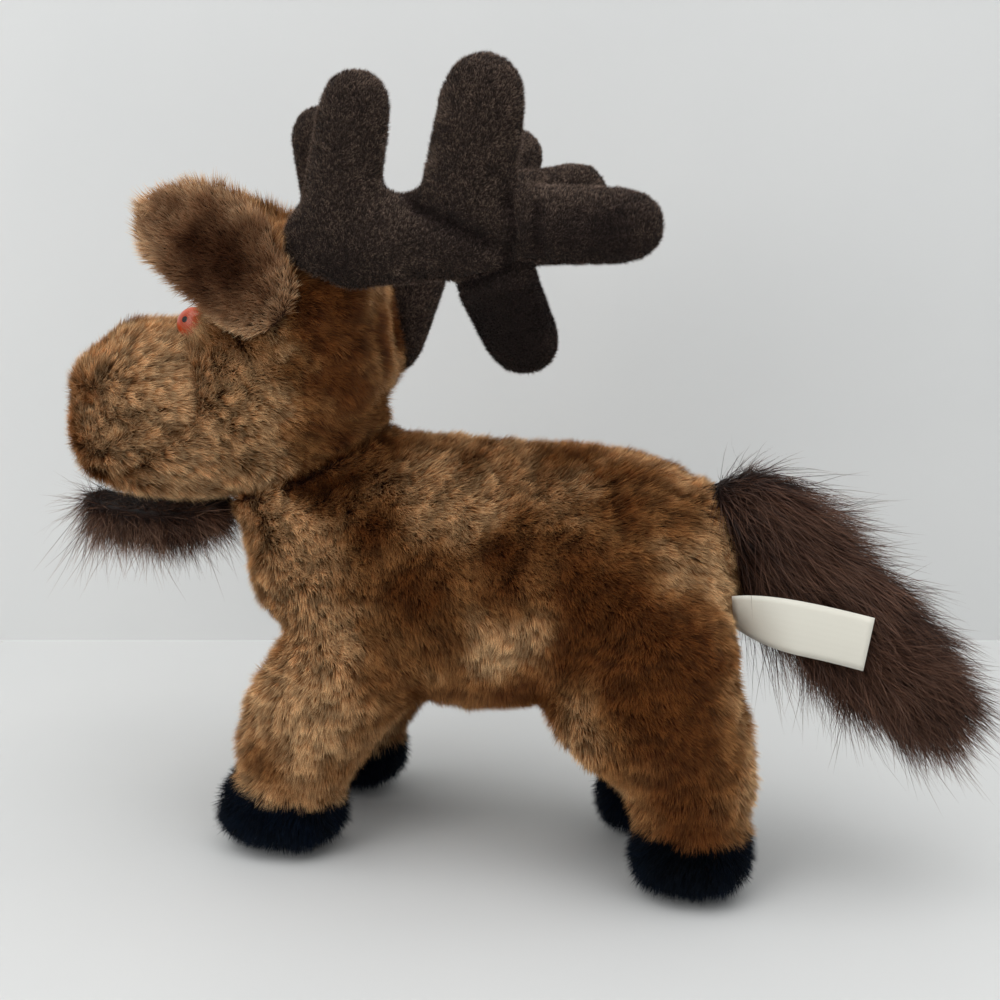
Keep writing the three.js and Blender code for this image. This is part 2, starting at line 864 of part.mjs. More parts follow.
function addTail() {
  const rumpRoom = swungSolids([swell(torso, torsoPlace, -seamGap)], tailHinge, [0, -tail.liftDegrees]);
  const brush = solid(swell(tail, tailPlace));
  const overhang = new THREE.Matrix4().makeTranslation(-tail.sleeveOverhang, 0, 0);
  const sleevePlace = tailPlace.clone().multiply(overhang);
  const sleeve = solid(swell(tail, sleevePlace, hairWall));
  const sleeveRoom = solid(swell(tail, sleevePlace, hairWall - seamGap));
  add('tail_pile', without(brush, [...rumpRoom, sleeveRoom]), 'hair');
  add('tail_sleeve', without(sleeve.intersect(brush), rumpRoom), 'hair');
}

function addRibbon() {
  const rumpRoom = solid(swell(torso, torsoPlace, -seamGap));
  const legRoom = limbs.map((limb) => legForm(limb, -seamGap));
  add('label_ribbon', without(ribbonSolid(), [rumpRoom, ...legRoom]), 'ribbon');
}

addTorso();
addLegs();
addHead();
addBeard();
addAntlers();
addEars();
addTail();
addRibbon();

// The origin is the middle of the toy's footprint on the surface that it stands on
const extent = new THREE.Box3().setFromObject(toy);
toy.position.set(-(extent.min.x + extent.max.x) / 2, -(extent.min.y + extent.max.y) / 2, -extent.min.z);

export default toy;
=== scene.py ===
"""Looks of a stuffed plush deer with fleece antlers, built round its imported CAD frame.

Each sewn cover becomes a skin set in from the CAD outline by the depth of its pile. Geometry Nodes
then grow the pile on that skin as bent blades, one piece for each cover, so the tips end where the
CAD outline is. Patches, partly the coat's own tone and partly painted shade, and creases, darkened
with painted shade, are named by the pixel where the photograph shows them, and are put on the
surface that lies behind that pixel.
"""

import logging
import math
from dataclasses import dataclass, field
from enum import Enum

import bmesh
import bpy
import numpy as np
from mathutils import Matrix, Vector, noise
from mathutils.bvhtree import BVHTree


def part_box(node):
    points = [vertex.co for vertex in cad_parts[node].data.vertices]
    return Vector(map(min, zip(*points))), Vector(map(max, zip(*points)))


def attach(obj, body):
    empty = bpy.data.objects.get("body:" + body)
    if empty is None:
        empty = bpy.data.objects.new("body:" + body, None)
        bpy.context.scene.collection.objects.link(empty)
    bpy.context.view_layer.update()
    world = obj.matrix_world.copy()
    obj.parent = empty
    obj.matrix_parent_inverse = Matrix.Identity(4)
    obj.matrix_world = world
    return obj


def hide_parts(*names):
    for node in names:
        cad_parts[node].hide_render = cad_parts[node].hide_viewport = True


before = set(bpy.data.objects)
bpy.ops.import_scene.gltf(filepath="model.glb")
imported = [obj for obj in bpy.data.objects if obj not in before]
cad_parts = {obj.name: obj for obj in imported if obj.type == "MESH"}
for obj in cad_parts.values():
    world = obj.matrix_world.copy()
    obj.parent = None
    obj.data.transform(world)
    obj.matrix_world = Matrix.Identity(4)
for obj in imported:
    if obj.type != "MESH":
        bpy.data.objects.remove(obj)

noise.seed_set(7)  # noise_vector would otherwise start from the clock

LOG = logging.getLogger("plush_deer")
MM = 0.001
Colour = tuple[float, float, float]
Way = tuple[float, float, float]
Pixel = tuple[int, int]


def srgb(red: int, green: int, blue: int) -> Colour:
    """Turns a colour given in 0 to 255 into linear light.

    Args:
        red: Red, 0 to 255.
        green: Green, 0 to 255.
        blue: Blue, 0 to 255.

    Returns:
        The three linear values.
    """
    shares = [value / 255 for value in (red, green, blue)]
    return tuple(s / 12.92 if s <= 0.04045 else ((s + 0.055) / 1.055) ** 2.4 for s in shares)


class Side(Enum):
    """The toy's own left and right. Left is the near side in the photograph."""

    LEFT = "left"
    RIGHT = "right"


class NodeSketch:
    """Adds nodes to one tree and joins them."""

    def __init__(self, tree: bpy.types.NodeTree) -> None:
        """Keeps the tree that the nodes go to."""
        self.tree = tree

    def add(self, kind: str, inputs: dict | None = None, **settings) -> bpy.types.Node:
        """Adds one node.

        Args:
            kind: The node's type name.
            inputs: A value or a socket for each input, by name or number.
            **settings: Properties of the node itself.

        Returns:
            The node.
        """
        node = self.tree.nodes.new(kind)
        for name, value in settings.items():
            setattr(node, name, value)
        for key, value in (inputs or {}).items():
            if isinstance(value, bpy.types.NodeSocket):
                self.tree.links.new(value, node.inputs[key])
            else:
                node.inputs[key].default_value = value
        return node

    def sum(self, operation: str, *values) -> bpy.types.NodeSocket:
        """A Math node's result, for that operation on those values."""
        return self.add("ShaderNodeMath", dict(enumerate(values)), operation=operation).outputs[0]

    def vector(self, operation: str, inputs: dict) -> bpy.types.NodeSocket:
        """A Vector Math node's result, the number where the operation gives one."""
        node = self.add("ShaderNodeVectorMath", inputs, operation=operation)
        return node.outputs["Value" if operation in ("DOT_PRODUCT", "LENGTH") else "Vector"]

    def scaled(self, vector, factor) -> bpy.types.NodeSocket:
        """A vector, or a colour, times a number."""
        return self.vector("SCALE", {0: vector, "Scale": factor})

    def named(self, name: str, kind: str = "FLOAT") -> bpy.types.NodeSocket:
        """The mesh attribute of that name."""
        return self.add("GeometryNodeInputNamedAttribute", {"Name": name}, data_type=kind).outputs[0]

    def chance(self, low: float, high: float, seed) -> bpy.types.NodeSocket:
        """A random number for each point."""
        return self.add("FunctionNodeRandomValue", {2: low, 3: high, "Seed": seed}, data_type="FLOAT").outputs[1]

    def way(self, seed) -> bpy.types.NodeSocket:
        """A random vector for each point, from -1 to 1 along each axis."""
        inputs = {"Min": (-1.0, -1.0, -1.0), "Max": (1.0, 1.0, 1.0), "Seed": seed}
        return self.add("FunctionNodeRandomValue", inputs, data_type="FLOAT_VECTOR").outputs[0]

    def ramp(self, value: bpy.types.NodeSocket, low: float, high: float) -> bpy.types.NodeSocket:
        """Zero at low, one at high and smooth between them."""
        inputs = {"Value": value, "From Min": low, "From Max": high}
        return self.add("ShaderNodeMapRange", inputs, interpolation_type="SMOOTHSTEP").outputs[0]

    def mix(self, share, first, second, way: str = "MIX") -> bpy.types.NodeSocket:
        """One colour over another.

        Args:
            share: How much of the second.
            first: The colour beneath.
            second: The colour on top.
            way: The blend type.

        Returns:
            The mixed colour.
        """
        node = self.tree.nodes.new("ShaderNodeMix")
        node.data_type = "RGBA"
        node.blend_type = way
        for socket, value in zip((node.inputs[0], node.inputs[6], node.inputs[7]), (share, first, second)):
            if isinstance(value, bpy.types.NodeSocket):
                self.tree.links.new(value, socket)
            else:
                socket.default_value = value if isinstance(value, float) else (*value[:3], 1.0)
        return node.outputs[2]


class ShaderGroups:
    """Effects that several finishes share, each built once."""

    def __init__(self) -> None:
        """Builds the groups."""
        self.fibre = self.build_fibre()
        self.grain = self.build_grain()

    @staticmethod
    def empty_group(name: str, inputs: dict[str, str], outputs: dict[str, str]) -> tuple:
        """A group with its sockets.

        Args:
            name: The group's name.
            inputs: The socket type of each named input.
            outputs: The socket type of each named output.

        Returns:
            The group, a sketch of it, its input node and its output node.
        """
        tree = bpy.data.node_groups.new(name, "ShaderNodeTree")
        for socket, kind in inputs.items():
            tree.interface.new_socket(socket, in_out="INPUT", socket_type=kind)
        for socket, kind in outputs.items():
            tree.interface.new_socket(socket, in_out="OUTPUT", socket_type=kind)
        sketch = NodeSketch(tree)
        return tree, sketch, sketch.add("NodeGroupInput"), sketch.add("NodeGroupOutput")

    def build_fibre(self) -> bpy.types.NodeTree:
        """A fibre's colour from its root to its tip, darker where its shade is higher, which holds both the coat's
        own dusky tone and painted shade, and unlike its neighbours.
        """
        kinds = {name: "NodeSocketColor" for name in ("Root", "Middle", "Tip", "Warm", "Dusk")}
        kinds |= {name: "NodeSocketFloat" for name in ("Along", "Tone", "Shade", "Spread")}
        tree, sketch, given, result = self.empty_group("fibre_colour", kinds, {"Colour": "NodeSocketColor"})
        get = given.outputs
        lower = sketch.mix(sketch.ramp(get["Along"], 0.05, 0.65), get["Root"], get["Middle"])
        upper = sketch.mix(sketch.ramp(get["Along"], 0.5, 1.0), lower, get["Tip"])
        warm = sketch.mix(1.0, upper, get["Warm"], "MULTIPLY")
        dusky = sketch.mix(1.0, upper, get["Dusk"], "MULTIPLY")
        twice = sketch.sum("MULTIPLY", get["Shade"], 2.0)
        patched = sketch.mix(twice, upper, warm)
        patched = sketch.mix(sketch.sum("SUBTRACT", twice, 1.0), patched, dusky)
        swing = sketch.sum("MULTIPLY", sketch.sum("SUBTRACT", get["Tone"], 0.5), get["Spread"])
        level = sketch.sum("ADD", swing, 1.0)
        varied = sketch.scaled(patched, level)
        tree.links.new(varied, result.inputs["Colour"])
        return tree

    def build_grain(self) -> bpy.types.NodeTree:
        """Cloudy and fine grain on a colour, with its height for a bump."""
        kinds = {"Colour": "NodeSocketColor", "Size": "NodeSocketFloat", "Amount": "NodeSocketFloat"}
        outputs = {"Colour": "NodeSocketColor", "Height": "NodeSocketFloat"}
        tree, sketch, given, result = self.empty_group("soft_grain", kinds, outputs)
        place = sketch.add("ShaderNodeTexCoord").outputs["Object"]
        scale = sketch.sum("DIVIDE", 1.0, given.outputs["Size"])
        fine = sketch.add("ShaderNodeTexNoise", {"Vector": place, "Scale": scale, "Detail": 3.0})
        broad = sketch.add("ShaderNodeTexNoise", {
            "Vector": place, "Scale": sketch.sum("MULTIPLY", scale, 0.12), "Detail": 2.0})
        both = sketch.sum("ADD", fine.outputs[0], sketch.sum("MULTIPLY", broad.outputs[0], 0.6))
        swing = sketch.sum("MULTIPLY", sketch.sum("SUBTRACT", both, 0.8), given.outputs["Amount"])
        level = sketch.sum("ADD", swing, 1.0)
        tree.links.new(sketch.vector("SCALE", {0: given.outputs["Colour"], "Scale": level}), result.inputs["Colour"])
        tree.links.new(fine.outputs[0], result.inputs["Height"])
        return tree


def new_material(name: str) -> tuple[bpy.types.Material, NodeSketch, bpy.types.Node]:
    """A material with its Principled node.

    Args:
        name: The material's name.

    Returns:
        The material, a sketch of its tree and the Principled node.
    """
    material = bpy.data.materials.new(name)
    material.use_nodes = True
    return material, NodeSketch(material.node_tree), material.node_tree.nodes["Principled BSDF"]


@dataclass(frozen=True)
class PileFinish:
    """Colours of a pile, from the root of a fibre to its tip.

    Attributes:
        name: The material's name.
        root: Colour at the backing.
        middle: Colour halfway.
        tip: Colour of the ends.
        dusk: What the darkest shade multiplies the colour by, for the coat's own dusky tone and for painted shade
            alike.
        spread: How unlike neighbouring fibres are.
        roughness: The fibres' roughness.
        specular: The fibres' specular level.
        sheen: The fibres' sheen.
    """

    name: str
    root: Colour
    middle: Colour
    tip: Colour
    dusk: Colour = (0.4, 0.3, 0.25)
    spread: float = 0.5
    roughness: float = 0.65
    specular: float = 0.2
    sheen: float = 0.0

    def build(self, groups: ShaderGroups) -> bpy.types.Material:
        """The pile's material, which reads the blades' own attributes."""
        material, sketch, surface = new_material(self.name)
        read = {name: sketch.add("ShaderNodeAttribute", attribute_name=name).outputs["Fac"]
                for name in ("along", "tone", "shade")}
        group = sketch.add("ShaderNodeGroup", node_tree=groups.fibre)
        for name in ("Root", "Middle", "Tip", "Dusk"):
            group.inputs[name].default_value = (*getattr(self, name.lower()), 1.0)
        group.inputs["Warm"].default_value = (*(math.sqrt(value) for value in self.dusk), 1.0)
        group.inputs["Spread"].default_value = self.spread
        for name, socket in read.items():
            sketch.tree.links.new(socket, group.inputs[name.capitalize()])
        sketch.tree.links.new(group.outputs["Colour"], surface.inputs["Base Color"])
        surface.inputs["Roughness"].default_value = self.roughness
        surface.inputs["Specular IOR Level"].default_value = self.specular
        surface.inputs["Sheen Weight"].default_value = self.sheen
        surface.inputs["Sheen Roughness"].default_value = 0.5
        return material


@dataclass(frozen=True)
class ClothFinish:
    """A cloth seen between or without fibres: a colour with soft grain and a small bump.

    Attributes:
        name: The material's name.
        colour: The cloth's colour.
        grain_size: Size of the grain, in metres.
        grain: How strongly the grain shows.
        bump: Height of the bump, in metres.
        roughness: Roughness.
        sheen: Sheen.
        specular: Specular level.
    """

    name: str
    colour: Colour
    grain_size: float = 0.8 * MM
    grain: float = 0.5
    bump: float = 0.15 * MM
    roughness: float = 0.9
    sheen: float = 0.1
    specular: float = 0.2

    def build(self, groups: ShaderGroups) -> bpy.types.Material:
        """The cloth's material."""
        material, sketch, surface = new_material(self.name)
        group = sketch.add("ShaderNodeGroup", node_tree=groups.grain)
        group.inputs["Colour"].default_value = (*self.colour, 1.0)
        group.inputs["Size"].default_value = self.grain_size
        group.inputs["Amount"].default_value = self.grain
        bump = sketch.add("ShaderNodeBump", {"Height": group.outputs["Height"], "Distance": self.bump})
        sketch.tree.links.new(group.outputs["Colour"], surface.inputs["Base Color"])
        sketch.tree.links.new(bump.outputs[0], surface.inputs["Normal"])
        surface.inputs["Roughness"].default_value = self.roughness
        surface.inputs["Specular IOR Level"].default_value = self.specular
        surface.inputs["Sheen Weight"].default_value = self.sheen
        return material


@dataclass(frozen=True)
class SatinFinish:
    """White satin ribbon with woven ribs along its length."""

    name: str = "satin_ribbon"
    colour: Colour = srgb(228, 224, 210)
    rib: float = 0.25 * MM
    roughness: float = 0.42

    def build(self, groups: ShaderGroups) -> bpy.types.Material:
        """The ribbon's material, which reads its own UV map in metres."""
        material, sketch, surface = new_material(self.name)
        place = sketch.add("ShaderNodeUVMap", uv_map="ribbon").outputs[0]
        ribs = sketch.add("ShaderNodeTexWave", {"Vector": place, "Scale": 1 / self.rib / 20, "Distortion": 0.6},
                          bands_direction="Y")
        cloud = sketch.add("ShaderNodeTexNoise", {"Vector": place, "Scale": 160.0, "Detail": 2.0})
        level = sketch.sum("ADD", sketch.sum("MULTIPLY", ribs.outputs["Fac"], 0.03),
                           sketch.sum("MULTIPLY", cloud.outputs[0], 0.12))
        dull = tuple(value * 0.8 for value in self.colour)
        colour = sketch.mix(level, self.colour, dull)
        bump = sketch.add("ShaderNodeBump", {"Height": ribs.outputs["Fac"], "Distance": 0.008 * MM})
        sketch.tree.links.new(colour, surface.inputs["Base Color"])
        sketch.tree.links.new(bump.outputs[0], surface.inputs["Normal"])
        surface.inputs["Roughness"].default_value = self.roughness
        surface.inputs["Sheen Weight"].default_value = 0.2
        return material


@dataclass(frozen=True)
class AmberFinish:
    """A glossy safety eye: amber at the rim, darker inwards, with a round black pupil.

    Attributes:
        name: The material's name.
        middle: A point on the eye's axis.
        outward: The way it faces.
        pupil: Radius of the pupil, in metres.
        radius: Radius of the eye, in metres.
        amber: Its colour at the rim.
    """

    name: str
    middle: Vector
    outward: Vector
    pupil: float = 0.9 * MM
    radius: float = 4.5 * MM
    amber: Colour = srgb(214, 78, 34)

    def build(self) -> bpy.types.Material:
        """The eye's material, measured from the eye's own axis."""
        material, sketch, surface = new_material(self.name)
        turn = self.outward.rotation_difference(Vector((0, 0, 1)))
        place = sketch.add("ShaderNodeTexCoord").outputs["Object"]
        mapping = sketch.add("ShaderNodeMapping", {
            "Vector": place, "Location": -(turn @ self.middle), "Rotation": turn.to_euler()})
        flat = sketch.vector("MULTIPLY", {0: mapping.outputs[0], 1: (1.0, 1.0, 0.0)})
        distance = sketch.vector("LENGTH", {0: flat})
        rim = sketch.ramp(distance, self.pupil, self.radius)
        deep = tuple(value * 0.6 for value in self.amber)
        iris = sketch.mix(rim, deep, self.amber)
        cloud = sketch.add("ShaderNodeTexNoise", {"Vector": place, "Scale": 900.0, "Detail": 2.0})
        iris = sketch.mix(sketch.sum("MULTIPLY", cloud.outputs[0], 0.3), iris, deep)
        black = sketch.ramp(distance, self.pupil * 0.94, self.pupil * 1.06)
        sketch.tree.links.new(sketch.mix(black, (0.004, 0.004, 0.005), iris), surface.inputs["Base Color"])
        surface.inputs["Roughness"].default_value = 0.3
        surface.inputs["Coat Weight"].default_value = 0.1
        surface.inputs["Coat Roughness"].default_value = 0.05
        return material


@dataclass(frozen=True)
class PhotoView:
    """Where the photograph was taken from.

    Attributes:
        target: The point at the middle of the picture.
        distance: From the camera to the target, in metres.
        pitch: Height of the camera above level, in degrees.
        yaw: How far it stands behind square to the body, in degrees.
        half_view: Tangent of half the angle of view.
        pixels: The picture's side.
    """

    target: Vector = Vector((-3.734 * MM, -17.549 * MM, 101 * MM))
    distance: float = 450 * MM
    pitch: float = 12.0
    yaw: float = 15.0
    half_view: float = 0.3111
    pixels: int = 1000

    @property
    def outward(self) -> Vector:
        """From the target towards the camera."""
        pitch, yaw = math.radians(self.pitch), math.radians(self.yaw)
        return Vector((math.sin(yaw) * math.cos(pitch), -math.cos(yaw) * math.cos(pitch), math.sin(pitch)))

    @property
    def eye(self) -> Vector:
        """Where the camera stands."""
        return self.target + self.outward * self.distance

    def ray(self, pixel: Pixel) -> Vector:
        """The direction from the camera through a pixel of the photograph."""
        turn = self.outward.to_track_quat("Z", "Y")
        across = (pixel[0] / self.pixels * 2 - 1) * self.half_view
        up = (1 - pixel[1] / self.pixels * 2) * self.half_view
        return (turn @ Vector((across, up, -1.0))).normalized()

    def seen(self, places: np.ndarray) -> tuple[np.ndarray, np.ndarray]:
        """Where places show in the photograph, in pixels, and how deep they lie, in metres."""
        turn = np.array(self.outward.to_track_quat("Z", "Y").to_matrix())
        local = (places - np.array(self.eye)) @ turn
        depth = -local[:, 2]
        spots = local[:, :2] / depth[:, None] / self.half_view * (1, -1)
        return (spots + 1) / 2 * self.pixels, depth

    def place_camera(self) -> None:
        """Makes the scene's camera."""
        data = bpy.data.cameras.new("photo_camera")
        data.sensor_width = 36.0
        data.lens = data.sensor_width / 2 / self.half_view
        data.clip_start = 0.01
        camera = bpy.data.objects.new("photo_camera", data)
        camera.location = self.eye
        camera.rotation_euler = self.outward.to_track_quat("Z", "Y").to_euler()
        bpy.context.scene.collection.objects.link(camera)
        bpy.context.scene.camera = camera


@dataclass(frozen=True)
class Patch:
    """A lighter or duskier patch of a coat, at a pixel of the photograph: partly the coat's own tone, partly painted
    shade where less light falls.
    """

    at: Pixel
    radius: float
    amount: float

    @classmethod
    def rows(cls, *rows: tuple[float, ...]) -> tuple["Patch", ...]:
        """Patches from their pixels, radii in millimetres and amounts."""
        return tuple(cls((x, y), radius * MM, amount) for x, y, radius, amount in rows)


@dataclass(frozen=True)
class Crease:
    """A line that cuts into a skin, along pixels of the photograph."""

    route: tuple[Pixel, ...]
    width: float
    depth: float


@dataclass(frozen=True)
class Swell:
    """A place where a skin is fuller than its outline, at a pixel of the photograph."""

    at: Pixel
    radius: float
    height: float

    @classmethod
    def rows(cls, *rows: tuple[float, ...]) -> tuple["Swell", ...]:
        """Swells from their pixels, and radii and heights in millimetres."""
        return tuple(cls((x, y), radius * MM, height * MM) for x, y, radius, height in rows)


@dataclass(frozen=True)
class Drag:
    """A pull on an outline, from one pixel of the photograph to another. Its radius is in pixels too."""

    start: Pixel
    end: Pixel
    radius: float

    @classmethod
    def rows(cls, *rows: tuple[int, ...]) -> tuple["Drag", ...]:
        """Drags from their two pixels and radii in pixels."""
        return tuple(cls(row[:2], row[2:4], row[4]) for row in rows)


@dataclass(frozen=True)
class Stroke:
    """Which way a coat is brushed, from one pixel of the photograph to another."""

    start: Pixel
    end: Pixel

    @classmethod
    def rows(cls, *rows: tuple[int, ...]) -> tuple["Stroke", ...]:
        """Strokes from their two pixels."""
        return tuple(cls(row[:2], row[2:]) for row in rows)


def points_of(mesh: bpy.types.Mesh) -> np.ndarray:
    """The places of a mesh's vertices, one row each."""
    places = np.zeros(len(mesh.vertices) * 3, np.float32)
    mesh.vertices.foreach_get("co", places)
    return places.reshape(-1, 3).astype(float)


def normals_of(mesh: bpy.types.Mesh) -> np.ndarray:
    """The normals of a mesh's vertices, one row each."""
    values = np.zeros(len(mesh.vertices) * 3, np.float32)
    mesh.vertex_normals.foreach_get("vector", values)
    return values.reshape(-1, 3).astype(float)


def put_points(mesh: bpy.types.Mesh, places: np.ndarray) -> None:
    """Moves a mesh's vertices to those places."""
    mesh.vertices.foreach_set("co", places.astype(np.float32).ravel())
    mesh.update()


def new_object(name: str, mesh: bpy.types.Mesh) -> bpy.types.Object:
    """Links a mesh as an object at the origin."""
    piece = bpy.data.objects.new(name, mesh)
    bpy.context.scene.collection.objects.link(piece)
    return piece


def evaluated(piece: bpy.types.Object) -> bpy.types.Mesh:
    """A plain mesh of what the object's modifiers make. The object itself is removed."""
    bpy.context.view_layer.update()
    seen = piece.evaluated_get(bpy.context.evaluated_depsgraph_get())
    mesh = bpy.data.meshes.new_from_object(seen)
    bpy.data.objects.remove(piece)
    return mesh


class Skin:
    """A closed skin made from CAD nodes, with what the pile on it needs to know."""

    TOUCH_INSET = 1.2 * MM
    TOUCH_NEAR = 2.5 * MM
    TOUCH_FAR = 8.0 * MM
    INSET_STEP = 1.5 * MM
    CREASE_PAINTED_SHADE = 0.8
    STROKE_WEIGHT = 3.0
    MIDDLE_WIDTH = 6 * MM
    FILL_FRAMES = 20
    FREE = 0.05
    SHORTEST_COMB = 0.08
    ATTRIBUTE_LIMIT = 2.0

    def __init__(self, nodes: list[str], voxel: float, inset: float, rounds: int = 6,
                 touching: tuple[str, ...] = ()) -> None:
        """Makes the skin.

        Args:
            nodes: The CAD nodes whose outline it follows.
            voxel: Size of its faces, in metres.
            inset: How deep under that outline it lies, in metres.
            rounds: Rounds of smoothing before the inset.
            touching: CAD nodes that it meets, where it stays nearly as full as its outline.
        """
        self.nodes = nodes
        joined, owners = bmesh.new(), []
        for name in nodes:
            start = len(joined.faces)
            joined.from_mesh(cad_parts[name].data)
            owners += [name] * (len(joined.faces) - start)
        self.outline = BVHTree.FromBMesh(joined)
        self.owners = owners
        bmesh.ops.remove_doubles(joined, verts=joined.verts, dist=1e-6)
        mesh = bpy.data.meshes.new("outline")
        joined.to_mesh(mesh)
        joined.free()
        rough = new_object("outline", mesh)
        remesh = rough.modifiers.new("even", "REMESH")
        remesh.mode, remesh.voxel_size = "VOXEL", voxel
        self.mesh = self.largest_shell(evaluated(rough))
        self.smooth(rounds)
        self.apart = self.distance_share(touching)
        depth = (self.apart * inset + (1 - self.apart) * min(inset, self.TOUCH_INSET))[:, None]
        steps = max(1, round(inset / self.INSET_STEP))
        for _ in range(steps):
            put_points(self.mesh, points_of(self.mesh) - normals_of(self.mesh) * depth / steps)
            self.smooth(1)
        count = len(self.mesh.vertices)
        self.shade = np.zeros(count)
        self.reach = 0.7 + 0.3 * self.apart
        self.lay = np.ones(count)
        self.comb = np.tile([1.0, 0.0, 0.0], (count, 1))
        self.inset = inset

    @staticmethod
    def largest_shell(mesh: bpy.types.Mesh) -> bpy.types.Mesh:
        """Keeps the largest connected shell of a mesh."""
        work = bmesh.new()
        work.from_mesh(mesh)
        work.verts.ensure_lookup_table()
        seen, shells = set(), []
        for vertex in work.verts:
            if vertex.index in seen:
                continue
            shell, queue = [], [vertex]
            seen.add(vertex.index)
            while queue:
                here = queue.pop()
                shell.append(here)
                for edge in here.link_edges:
                    other = edge.other_vert(here)
                    if other.index not in seen:
                        seen.add(other.index)
                        queue.append(other)
            shells.append(shell)
        for shell in sorted(shells, key=len)[:-1]:
            bmesh.ops.delete(work, geom=shell, context="VERTS")
        work.to_mesh(mesh)
        work.free()
        return mesh

    def distance_share(self, nodes: tuple[str, ...]) -> np.ndarray:
        """How far each vertex is from those CAD nodes: zero beside them, one away from them."""
        if not nodes:
            return np.ones(len(self.mesh.vertices))
        others = bmesh.new()
        for name in nodes:
            others.from_mesh(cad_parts[name].data)
        tree = BVHTree.FromBMesh(others)
        others.free()
        far = self.TOUCH_FAR
        found = [tree.find_nearest(vertex.co, far)[3] for vertex in self.mesh.vertices]
        gaps = np.array([far if gap is None else gap for gap in found])
        share = np.clip((gaps - self.TOUCH_NEAR) / (far - self.TOUCH_NEAR), 0, 1)
        return share * share * (3 - 2 * share)

    def smooth(self, rounds: int, share: float = 0.5) -> None:
        """Evens the skin out.

        Args:
            rounds: How many times each vertex moves towards its neighbours.
            share: How far it moves each time.
        """
        ends = np.zeros(len(self.mesh.edges) * 2, np.int32)
        self.mesh.edges.foreach_get("vertices", ends)
        first, second = ends.reshape(-1, 2).T
        count = len(self.mesh.vertices)
        links = np.bincount(first, minlength=count) + np.bincount(second, minlength=count)
        places = points_of(self.mesh)
        for _ in range(rounds):
            total = np.zeros_like(places)
            for axis in range(3):
                total[:, axis] = np.bincount(first, places[second, axis], count)
                total[:, axis] += np.bincount(second, places[first, axis], count)
            places += share * (total / links[:, None] - places)
        put_points(self.mesh, places)

    def tree(self) -> BVHTree:
        """The skin as it is now, for finding places on it."""
        faces = [tuple(face.vertices) for face in self.mesh.polygons]
        return BVHTree.FromPolygons([Vector(place) for place in points_of(self.mesh)], faces)

    def behind(self, view: PhotoView, pixels: tuple[Pixel, ...]) -> list[Vector]:
        """The places on the skin behind pixels of the photograph.

        Args:
            view: Where the photograph was taken from.
            pixels: The pixels.

        Returns:
            A place for each pixel that has skin behind it.
        """
        tree = self.tree()
        hits = [tree.ray_cast(view.eye, view.ray(pixel))[0] for pixel in pixels]
        return [hit for hit in hits if hit is not None]

    def both_sides(self, view: PhotoView, pixels: tuple[Pixel, ...], mirror: "Mirror | None") -> list[Vector]:
        """The places behind pixels and, where a mirror is given, their twins on the far side."""
        places = self.behind(view, pixels)
        return places + [mirror.twin(place) for place in places if mirror]

    def nearness(self, places: list[Vector], radius: float) -> np.ndarray:
        """How near each vertex is to the nearest of those places: one at it, fading to zero."""
        here = points_of(self.mesh)
        best = np.full(len(here), 1e9)
        for place in places:
            best = np.minimum(best, np.linalg.norm(here - np.array(place), axis=1))
        return np.exp(-((best / radius) ** 2))

    def add_patches(self, view: PhotoView, patches: tuple[Patch, ...], mirror: "Mirror | None" = None) -> None:
        """Lightens and darkens the coat, for its own tone and as painted shade, on the far side too where a mirror is
        given.
        """
        for patch in patches:
            places = self.both_sides(view, (patch.at,), mirror)
            self.shade += patch.amount * self.nearness(places, patch.radius)

    def add_cloud(self, size: float, amount: float, seed: float) -> None:
        """Clouds the coat's shade with noise of that size."""
        here = points_of(self.mesh) / size
        offset = Vector((seed, seed * 0.7, -seed))
        cloud = [noise.fractal(Vector(place) + offset, 0.6, 2.0, 3) for place in here]
        self.shade += amount * np.array(cloud)

    def press(self, view: PhotoView, creases: tuple[Crease, ...], mirror: "Mirror | None" = None) -> None:
        """Cuts creases into the skin and paints shade into them, on the far side too where a mirror is given."""
        for crease in creases:
            route = []
            for start, end in zip(crease.route, crease.route[1:]):
                steps = max(2, int(math.dist(start, end) / 3))
                route += [tuple(a + (b - a) * k / steps for a, b in zip(start, end)) for k in range(steps + 1)]
            near = self.nearness(self.both_sides(view, tuple(route), mirror), crease.width)
            push = normals_of(self.mesh) * (near * crease.depth)[:, None]
            put_points(self.mesh, points_of(self.mesh) - push)
            # Painted shade in the crease.
            self.shade += self.CREASE_PAINTED_SHADE * near

    def swell(self, view: PhotoView, swells: tuple[Swell, ...], mirror: "Mirror") -> None:
        """Fills the skin out, alike on both sides."""
        for swell in swells:
            near = self.nearness(self.both_sides(view, (swell.at,), mirror), swell.radius)
            put_points(self.mesh, points_of(self.mesh) + normals_of(self.mesh) * (near * swell.height)[:, None])

    def drag(self, view: PhotoView, drags: tuple[Drag, ...], mirror: "Mirror") -> None:
        """Pulls the skin's outline about, alike on both sides."""
        turn = np.array(view.outward.to_track_quat("Z", "Y").to_matrix())
        normal = np.array(mirror.normal)
        for drag in drags:
            here = points_of(self.mesh)
            side = (here - np.array(mirror.point)) @ normal
            near = here - np.where(side > 0, 2 * side, 0)[:, None] * normal
            spots, depth = view.seen(near)
            weight = np.exp(-((np.linalg.norm(spots - drag.start, axis=1) / drag.radius) ** 2))
            scale = weight * depth * 2 * view.half_view / view.pixels
            across, down = drag.end[0] - drag.start[0], drag.end[1] - drag.start[1]
            move = scale[:, None] * (across * turn[:, 0] - down * turn[:, 1])
            share = np.clip(np.abs(side) / self.MIDDLE_WIDTH, 0, 1)
            sideways = move @ normal
            over = np.where(side > 0, 2 * sideways, 0) + (1 - share) * np.where(side > 0, -1, 1) * sideways
            put_points(self.mesh, here + move - over[:, None] * normal)

